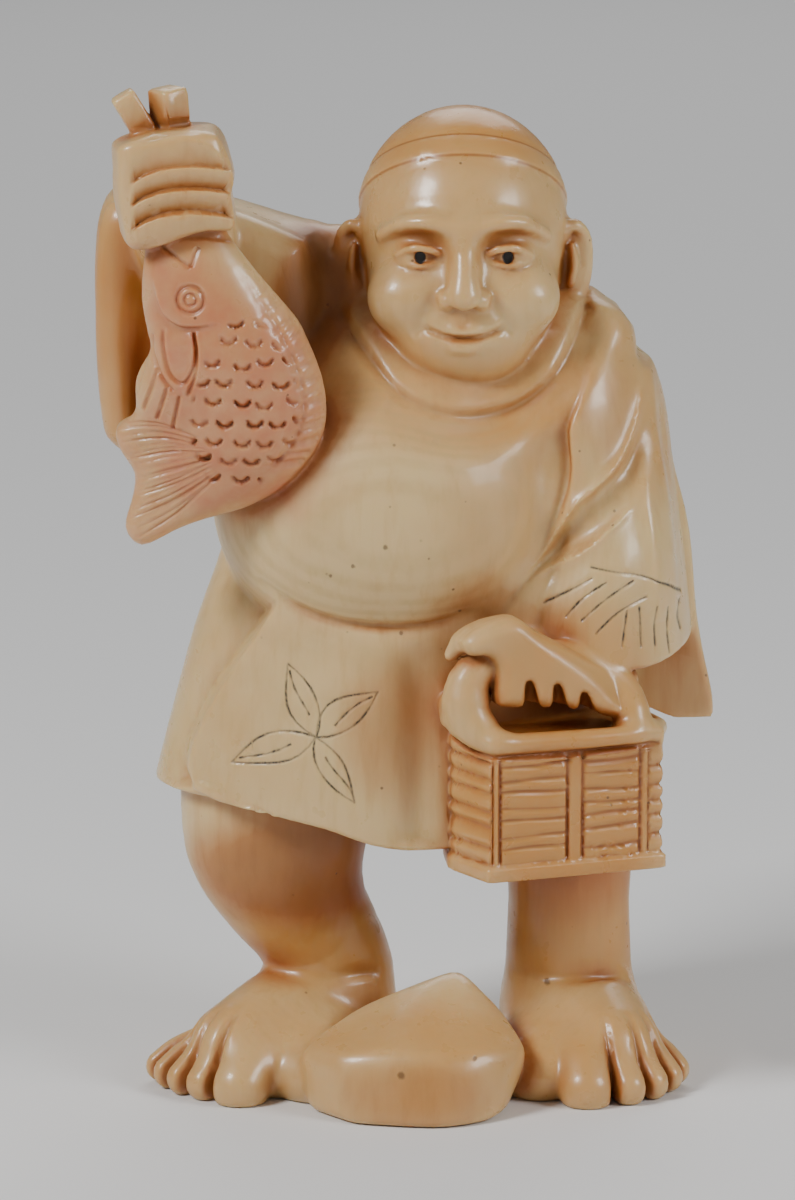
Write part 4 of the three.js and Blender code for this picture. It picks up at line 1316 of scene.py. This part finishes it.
def weavePattern(tree, millimetres, given):
    # how deep the cuts of the basket's front and of its sides are at a place
    middle = joined(tree, given["Middle X"], given["Middle Y"], given["Underside"])
    local = vectorMaths(tree, "SUBTRACT", millimetres, middle)
    rotation = {"Vector": local, "Angle": maths("RADIANS", given["Turn"] * -1, tree=tree)}
    x, _, z = split(tree, output(tree, "ShaderNodeVectorRotate", rotation, rotation_type="Z_AXIS"))
    spread = joined(tree, x * 0.1, (x > given["Middle Post"]) * 3, z * 0.9)
    cloud = output(tree, "ShaderNodeTexNoise", {"Vector": spread, "Scale": 1.0, "Detail": 1.0}, "Fac")
    height = z + (cloud - 0.5) * given["Uneven"] - given["Foot"]
    # the sides' slats bulge between narrow cuts
    wave = abs(maths("SINE", height / given["Slat"] * math.pi))
    slats = (1 - wave ** 0.6) * given["Slat Depth"]
    # the front's lines lie between three posts, and its right edge has slats again
    posts = [abs(x - given[name + " Post"]) - given[name + " Half"] for name in ("Left", "Middle", "Right")]
    nearest = maths("MINIMUM", maths("MINIMUM", posts[0], posts[1]), posts[2])
    narrow = lambda distance: 2.718 ** ((distance / given["Line Width"]) ** 2 * -1)
    lines = narrow(maths("PINGPONG", height, given["Line"] / 2)) * (nearest > 0)
    front = maths("MAXIMUM", lines, narrow(nearest)) * given["Line Depth"]
    corner = x > given["Right Post"] + given["Right Half"]
    return front * (1 - corner) + slats * corner, slats


def weaveTree(material):
    tree, given = newTree("basketWeave", weave)
    place = scaledVector(tree, output(tree, "GeometryNodeInputPosition"), 1000.0)
    front, slats = weavePattern(tree, place, given)
    sink = front * readValue(tree, "weaveFront") + slats * readValue(tree, "weaveSide")
    return endTree(tree, given, sink, material, "weaveCut")


keepValues("ink", np.maximum(engraving["inkShare"] * inkShape * inkFirm, pupils(x, y, z)))
keepValues("scales", inside(fishMarks["scaleArea"], x, z) * facing(normals) * (y < fishMarks["behind"]))
# The weave lies between the basket's foot and its lid. Margins: below the lid, beside, in front and behind.
weaveArea = {"lid": 0.15, "beside": 1.1, "front": 0.4, "behind": 0.2, "edge": 0.5, "fade": 0.1}
halfWidth, halfDepth = basket["width"] / 2, basket["depth"] / 2
lx, ly, lz = turned(x, y, z, basket["at"], (0, 0, basket["turn"]))
nx, ny, _ = turned(*normals.T, (0, 0, 0), (0, 0, basket["turn"]))
woven = rising(lz - basket["rim"], weaveArea["fade"])
woven = woven * rising(basket["height"] - weaveArea["lid"] - lz, weaveArea["lid"])
woven = woven * (np.abs(lx) < halfWidth + weaveArea["beside"])
woven = woven * (ly > -halfDepth - weaveArea["front"]) * (ly < halfDepth + weaveArea["behind"])
keepValues("weaveFront", woven * rising(-ny - 0.4, 0.3) * (ly < -halfDepth + weaveArea["edge"]))
keepValues("weaveSide", woven * rising(np.abs(nx) - 0.5, 0.3) * (np.abs(lx) > halfWidth - weaveArea["edge"]))

material = bpy.data.materials.new("polishedIvory")
material.use_nodes = True
addTree(scaleTree(material), scaleMarks)
addTree(weaveTree(material), weave)
detailed = evaluated(piece)
piece.modifiers.clear()
piece.data = mesh = detailed
mesh.shade_smooth()
print("scales and weave cut")

points = listed(mesh.vertices, "co", 3) * 1000 + drawing["middle"]
normals = listed(mesh.vertices, "normal", 3)
x, y, z = points.T


def openness(reaches, cell):
    # how free the space over each point is, at several distances: one where it is open
    step = drawing["step"] * cell
    grid = openvdb.FloatGrid.createLevelSetFromPolygons(
        (points - drawing["low"]) / step, triangles=triangles.astype(np.uint32),
        transform=openvdb.createLinearTransform(voxelSize=1.0), halfWidth=max(reaches) / step + 2,
    )
    distances = np.zeros([size // cell + 2 for size in figure.values.shape], np.float32)
    grid.copyToArray(distances)
    around = lambda reach: (points + normals * reach - drawing["low"]) / cell + drawing["low"]
    return [rising(sampled(distances * step, around(reach)), reach) for reach in reaches]


def blush(at, half):
    # a soft round patch of colour, one at its middle
    away = sum(((value - middle) / size) ** 2 for value, middle, size in zip((x, y, z), at, half))
    return np.clip(1.5 - 1.5 * away, 0, 1)


# Some parts are warmer in colour, partly in their own tone and partly as painted shade on the legs under the
# skirt and on the skirt's middle: share, middle and half size.
warmPatches = [
    (1.0, (8, -9, 16.2), (7.5, 6.5, 7.0)),  # basket
    (0.7, (8, -9, 23.0), (7.0, 5, 5)),  # left hand
    (0.85, (-5, 0, 8.5), (7, 6, 6.5)), (0.85, (9, 0, 8.5), (6, 6, 6.5)),  # legs
    # feet and rock
    (0.45, (-9, -5, 2), (8, 8, 4)), (0.45, (10, -5, 2), (8, 8, 4)), (0.5, (0.5, -9, 2), (8, 6, 5)),
    (0.85, (-14, -1, 39), (4.5, 7, 10)), (0.4, (-11.5, -8, 48.5), (5, 5, 6)),  # raised sleeve and fist
    # neck, crown and head
    (0.55, (2, -4, 37), (11, 6, 5)), (0.8, (3, 0, 50.5), (8, 8, 5)), (0.45, (3, -2, 45.5), (8, 8, 8)),
    (0.35, (6, -7, 31), (5, 5, 6)),  # the belly's right
    (0.45, (0.5, -6, 20), (5, 5, 6)), (0.4, (12, -3, 36), (4, 6, 7)),  # the skirt's middle and the shoulder
]
# and some get painted shade: under the skirt, between the fish and the neck, and in a few other shaded places
paintedShadePatches = [
    (0.75, (-5, -3, 11.6), (8, 7, 3.8)), (0.5, (9, -2, 11.2), (5, 6, 3.4)),
    (1.0, (-4.8, -1, 40.8), (2.7, 5, 5.4)),
    (0.35, (0.5, -12.6, 1.6), (7, 2.5, 2.4)), (0.25, (-0.8, -7.5, 19.8), (3.4, 4, 5)),
    (0.2, (9.4, -4, 35.8), (3.6, 4, 3.8)),
    (0.2, (-15.2, -1, 41), (2.2, 5, 7)), (0.35, (15.0, -0.5, 21), (3.2, 3.5, 2.6)),
    # less stain and painted shade: the folds at the lapel
    (-0.45, (7.1, -6, 29.3), (2.0, 4, 2.4)), (-0.25, (8.4, -6, 33), (1.4, 4, 3.4)),
]
# Stain gathers in hollows, and the ridges are worn pale. The wide and far looks and the patches above also
# paint shade where parts close in the space over a place.
stainAndShadeLook = {
    # how far out a place is looked at for walls round it (mm): fine and near find the crevices' stain, wide
    # and far paint shade
    "fine": 0.3, "near": 0.8, "wide": 2.0, "far": 4.5,
    "weights": (0.3, 0.5, 0.3, 0.2), "farFrom": 0.85, "clean": 0.08,
    "tail": (0.6, (-12.4, -8, 33), (4.5, 6, 5.5)),  # the fish's tail is a little less brown
}
fine, near = openness([stainAndShadeLook[name] for name in ("fine", "near")], 1)
# the wide and far looks paint shade in larger hollows, under the skirt and between parts
wide, far = openness([stainAndShadeLook[name] for name in ("wide", "far")], 3)
closeness = 1 - fine, 1 - near, 1 - wide, np.clip(stainAndShadeLook["farFrom"] - far, 0, 1)
closed = sum(weight * value for weight, value in zip(stainAndShadeLook["weights"], closeness))
for share, at, half in paintedShadePatches:
    closed += share * blush(at, half)
# kept as one map: stain in crevices together with painted shade
keepValues("stainAndShade", flowed(triangles, np.clip(closed - stainAndShadeLook["clean"], 0, 1), 2))
share, at, half = stainAndShadeLook["tail"]
fishShare = np.maximum(inside(fishMarks["skin"], x, z, 2.2), share * blush(at, half))
fishShare = fishShare * rising(fishMarks["behind"] - y, 0.8)
keepValues("blush", flowed(triangles, fishShare, 3))
warmth = np.max([share * blush(at, half) for share, at, half in warmPatches], 0)
keepValues("warmth", flowed(triangles, warmth, 3))
# the stain map laid on holds painted shade as well
print("stain laid on")

# Old polished ivory: creamy, with growth rings and streaks, amber in its hollows, with painted shade in
# larger hollows and between parts.
ivoryLook = {
    "axis": (-1.1, 7.0, 0), "ring": 0.42,  # the tusk's axis and the width of a growth layer (mm)
    "waver": {"Distortion": 2.2, "Detail": 2.0, "Detail Scale": 0.35},  # of the layers
    "belly": (-1.5, -6.0, 29.3),  # where the layers show best and the polish is duller
    "pale": "#D8BB86", "warm": "#C48A44", "ring colour": "#C09F68", "streak": "#BE9658",
    # the two stain colours tint crevices with stain and also paint shade in larger hollows and between parts
    "fish": "#C47A52", "stainAndShade": "#D39A5C", "deepStainAndShade": "#7A4818", "pit": "#4A2C16", "ink": "#1C1815",
    # noises: scale per mm, detail, stretch along X, Y and Z, and roughness
    "streaks": (1.6, 4, (1, 1, 0.16), 0.6),
    "clouds": (0.16, 3), "mottle": (0.9, 3), "grain": (9.0, 3, (1, 1, 0.5)),
    # how strongly each thing shows: its share, or its least and its most
    "layer share": (0.08, 0.36), "streak share": 0.3, "fish share": (0.65, 0.95), "stainAndShadeShare": 0.85,
    "deep share": 0.75, "cap share": (0.5, 0.3), "pit share": 0.65, "ink share": (0.5, 0.95),
    "weave stain": 1.6, "scale stain": 1.5, "polish": (0.25, 0.4),  # the polish is a range of roughness
    "bump": {"Strength": 0.35, "Distance": 0.00003},
    "heights": (0.5, 0.25, 0.12, -2.0),  # how much streaks, grain, layers and pits stand out in it
    # old pits and specks in front: X, Z and size
    "marks": [
        (-0.9, 30.0, 0.16), (-2.55, 28.95, 0.14), (-3.7, 28.35, 0.12), (2.9, 26.2, 0.12),
        (-0.1, 25.1, 0.14), (-0.1, 2.7, 0.24), (3.7, 3.4, 0.14), (7.6, 5.2, 0.2),
    ],
    "shader": {
        "Subsurface Weight": 0.5, "Subsurface Radius": (1.0, 0.55, 0.28), "Subsurface Scale": 0.0009,
        "IOR": 1.54, "Coat Weight": 0.22, "Coat Roughness": 0.12,
    },
}


def ivory(material):
    tree, look = material.node_tree, ivoryLook
    shader = tree.nodes["Principled BSDF"]

    def mixed(share, first, second, blend="MIX"):
        parts = {0: share, 6: first, 7: linear(look[second])}
        return output(tree, "ShaderNodeMix", parts, 2, data_type="RGBA", blend_type=blend)

    def attribute(name):
        return output(tree, "ShaderNodeAttribute", name="Fac", attribute_name=name)

    def ramp(value, low, high, first=0.0, last=1.0):
        return output(tree, "ShaderNodeMapRange", [value, low, high, first, last])

    def noise(scale, detail, stretch=(1, 1, 1), rough=0.5):
        place = vectorMaths(tree, "MULTIPLY", millimetres, stretch)
        inputs = {"Vector": place, "Scale": scale, "Detail": detail, "Roughness": rough}
        return output(tree, "ShaderNodeTexNoise", inputs, "Fac")

    millimetres = scaledVector(tree, output(tree, "ShaderNodeTexCoord", name="Object"), 1000.0)
    axisX, axisY, axisZ = split(tree, millimetres)
    streaks, clouds, mottle, grain = [noise(*look[name]) for name in ("streaks", "clouds", "mottle", "grain")]
    stainAndShadeMap, drawn = attribute("stainAndShade"), attribute("ink")

    # growth layers: rings round the tusk's axis, which stands behind the figure
    fromAxis = vectorMaths(tree, "SUBTRACT", millimetres, look["axis"])
    wave = {"Vector": fromAxis, "Scale": 0.314 / look["ring"], **look["waver"]}
    rings = output(tree, "ShaderNodeTexWave", wave, "Fac", wave_type="RINGS", rings_direction="Z")
    # the warmth map holds the parts' own warmer tone and painted shade on the legs and the skirt's middle
    warm = attribute("warmth") + (clouds - 0.45) * 0.9
    colour = mixed(ramp(warm, 0.0, 1.0), linear(look["pale"]), "warm")
    fromBelly = vectorMaths(tree, "DISTANCE", millimetres, look["belly"], name="Value")
    shown = ramp(rings, 0.2, 0.9) * ramp(fromBelly, 6.0, 13.0, 1.4, 0.3)
    shown = shown * ramp(mottle, 0.3, 0.75, *look["layer share"])
    colour = mixed(shown, colour, "ring colour")
    colour = mixed(ramp(streaks, 0.5, 0.75, 0.0, look["streak share"]), colour, "streak")
    colour = mixed(attribute("blush") * ramp(mottle, 0.3, 0.7, *look["fish share"]), colour, "fish")

    # stain in the hollows, in the weave's cuts and in the scales' marks, together with painted shade
    front, slats = weavePattern(tree, millimetres, weave)
    weaveLines = front * attribute("weaveFront") + slats * attribute("weaveSide")
    stainAndShade = stainAndShadeMap + (streaks - 0.5) * 0.2 + weaveLines * look["weave stain"]
    stainAndShade = stainAndShade + attribute("scaleCut") * look["scale stain"]
    colour = mixed(ramp(stainAndShade, 0.03, 0.55, 0.0, look["stainAndShadeShare"]), colour, "stainAndShade", "MULTIPLY")
    colour = mixed(ramp(stainAndShade, 0.45, 1.1, 0.0, look["deep share"]), colour, "deepStainAndShade")

    # the cap's two fine cut lines
    cap = head["capEdge"]
    rise = (axisY - (cap["y"] - drawing["middle"][1])) * cap["slope"]
    above = (axisZ - cap["z"] - rise) / math.hypot(1, cap["slope"])
    narrow = lambda distance: ramp(abs(distance), 0.02, 0.09, 1.0, 0.0)
    capLine = maths("MAXIMUM", narrow(above), narrow(above - cap["lineAbove"]))
    capLine = capLine * ((axisZ > cap["lowest"]) * (axisX > -4))
    colour = mixed(capLine * look["cap share"][0], colour, "stainAndShade", "MULTIPLY")
    colour = mixed(capLine * look["cap share"][1], colour, "deepStainAndShade")

    # pores and old pits
    cells = {"Vector": millimetres, "Scale": 0.9, "Randomness": 1.0}
    pores = output(tree, "ShaderNodeTexVoronoi", cells, "Distance")
    pits = ramp(pores, 0.09, 0.05) * ramp(noise(0.35, 1), 0.54, 0.6)
    for markX, markZ, size in look["marks"]:
        offset = joined(tree, axisX - (markX - drawing["middle"][0]), 0, axisZ - markZ)
        reach = vectorMaths(tree, "LENGTH", offset, name="Value") + (grain - 0.5) * 0.12
        pits = maths("MAXIMUM", pits, ramp(reach, size, size * 0.5) * (axisY < 2.5))
    colour = mixed(pits * look["pit share"], colour, "pit")

    # drawn lines are worn thin in places, and the pupils are full black
    worn = ramp(drawn, 0.2, 0.65) * ramp(grain, 0.3, 0.6, *look["ink share"])
    ink = maths("MAXIMUM", worn, ramp(drawn, 0.82, 0.92))
    colour = mixed(ink, colour, "ink")

    # dry where stain or painted shade lies, where it is inked or seldom touched, glossy elsewhere
    rough = ramp(mottle, 0.3, 0.7, *look["polish"]) + stainAndShadeMap * 0.25 + ramp(fromBelly, 7.0, 13.0, 0.18, 0.0)
    rough = rough + ink * 0.3
    heights = [part * weight for part, weight in zip((streaks, grain, rings, pits), look["heights"])]
    height = heights[0] + heights[1] + heights[2] + heights[3]
    bump = output(tree, "ShaderNodeBump", {**look["bump"], "Height": height})
    for name, found in (("Base Color", colour), ("Roughness", rough), ("Normal", bump)):
        tree.links.new(found.socket, shader.inputs[name])
    for name, value in look["shader"].items():
        shader.inputs[name].default_value = value


ivory(material)
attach(piece, "root")
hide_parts("figure")

# The studio, in metres: the photo's view and height, soft lights (place, size, watts), room and floor.
studio = {
    "tilt": 12, "distance": 0.330, "target": (-0.000498, 0.0025, 0.0252), "frameHeight": 0.063, "sensor": 36,
    "lights": {
        "keyLight": ((-0.24, -0.17, 0.26), 0.1, 1.1),
        "sideLight": ((0.24, -0.13, 0.15), 0.1, 0.45),
        "backLight": ((0.05, 0.5, 0.45), 0.4, 1.2),
    },
    "aim": (0, 0, 0.028), "room": (0.6, 0.6, 0.6, 1), "roomStrength": 0.28, "floor": 1,
}


def placed(thing, at, towards):
    thing.location = at
    thing.rotation_euler = towards.to_track_quat("-Z", "Y").to_euler()


camera = linked("camera", bpy.data.cameras.new("camera"))
tilt = math.radians(studio["tilt"])
back = Vector((0, -math.cos(tilt), math.sin(tilt)))
placed(camera, Vector(studio["target"]) + back * studio["distance"], -back)
camera.data.sensor_width = studio["sensor"]
camera.data.lens = studio["sensor"] * studio["distance"] / studio["frameHeight"]
camera.data.clip_start = 0.01
bpy.context.scene.camera = camera

for name, (at, size, power) in studio["lights"].items():
    lamp = bpy.data.lights.new(name, "AREA")
    lamp.size = size
    lamp.energy = power
    placed(linked(name, lamp), at, Vector(studio["aim"]) - Vector(at))
world = bpy.context.scene.world = bpy.data.worlds.new("studio")
world.use_nodes = True
world.node_tree.nodes["Background"].inputs[0].default_value = studio["room"]
world.node_tree.nodes["Background"].inputs[1].default_value = studio["roomStrength"]
side = studio["floor"]
corners = [(-side, -side, 0), (side, -side, 0), (side, side, 0), (-side, side, 0)]
floor = linked("floor", meshOf("floor", corners, [(0, 1, 2, 3)]))
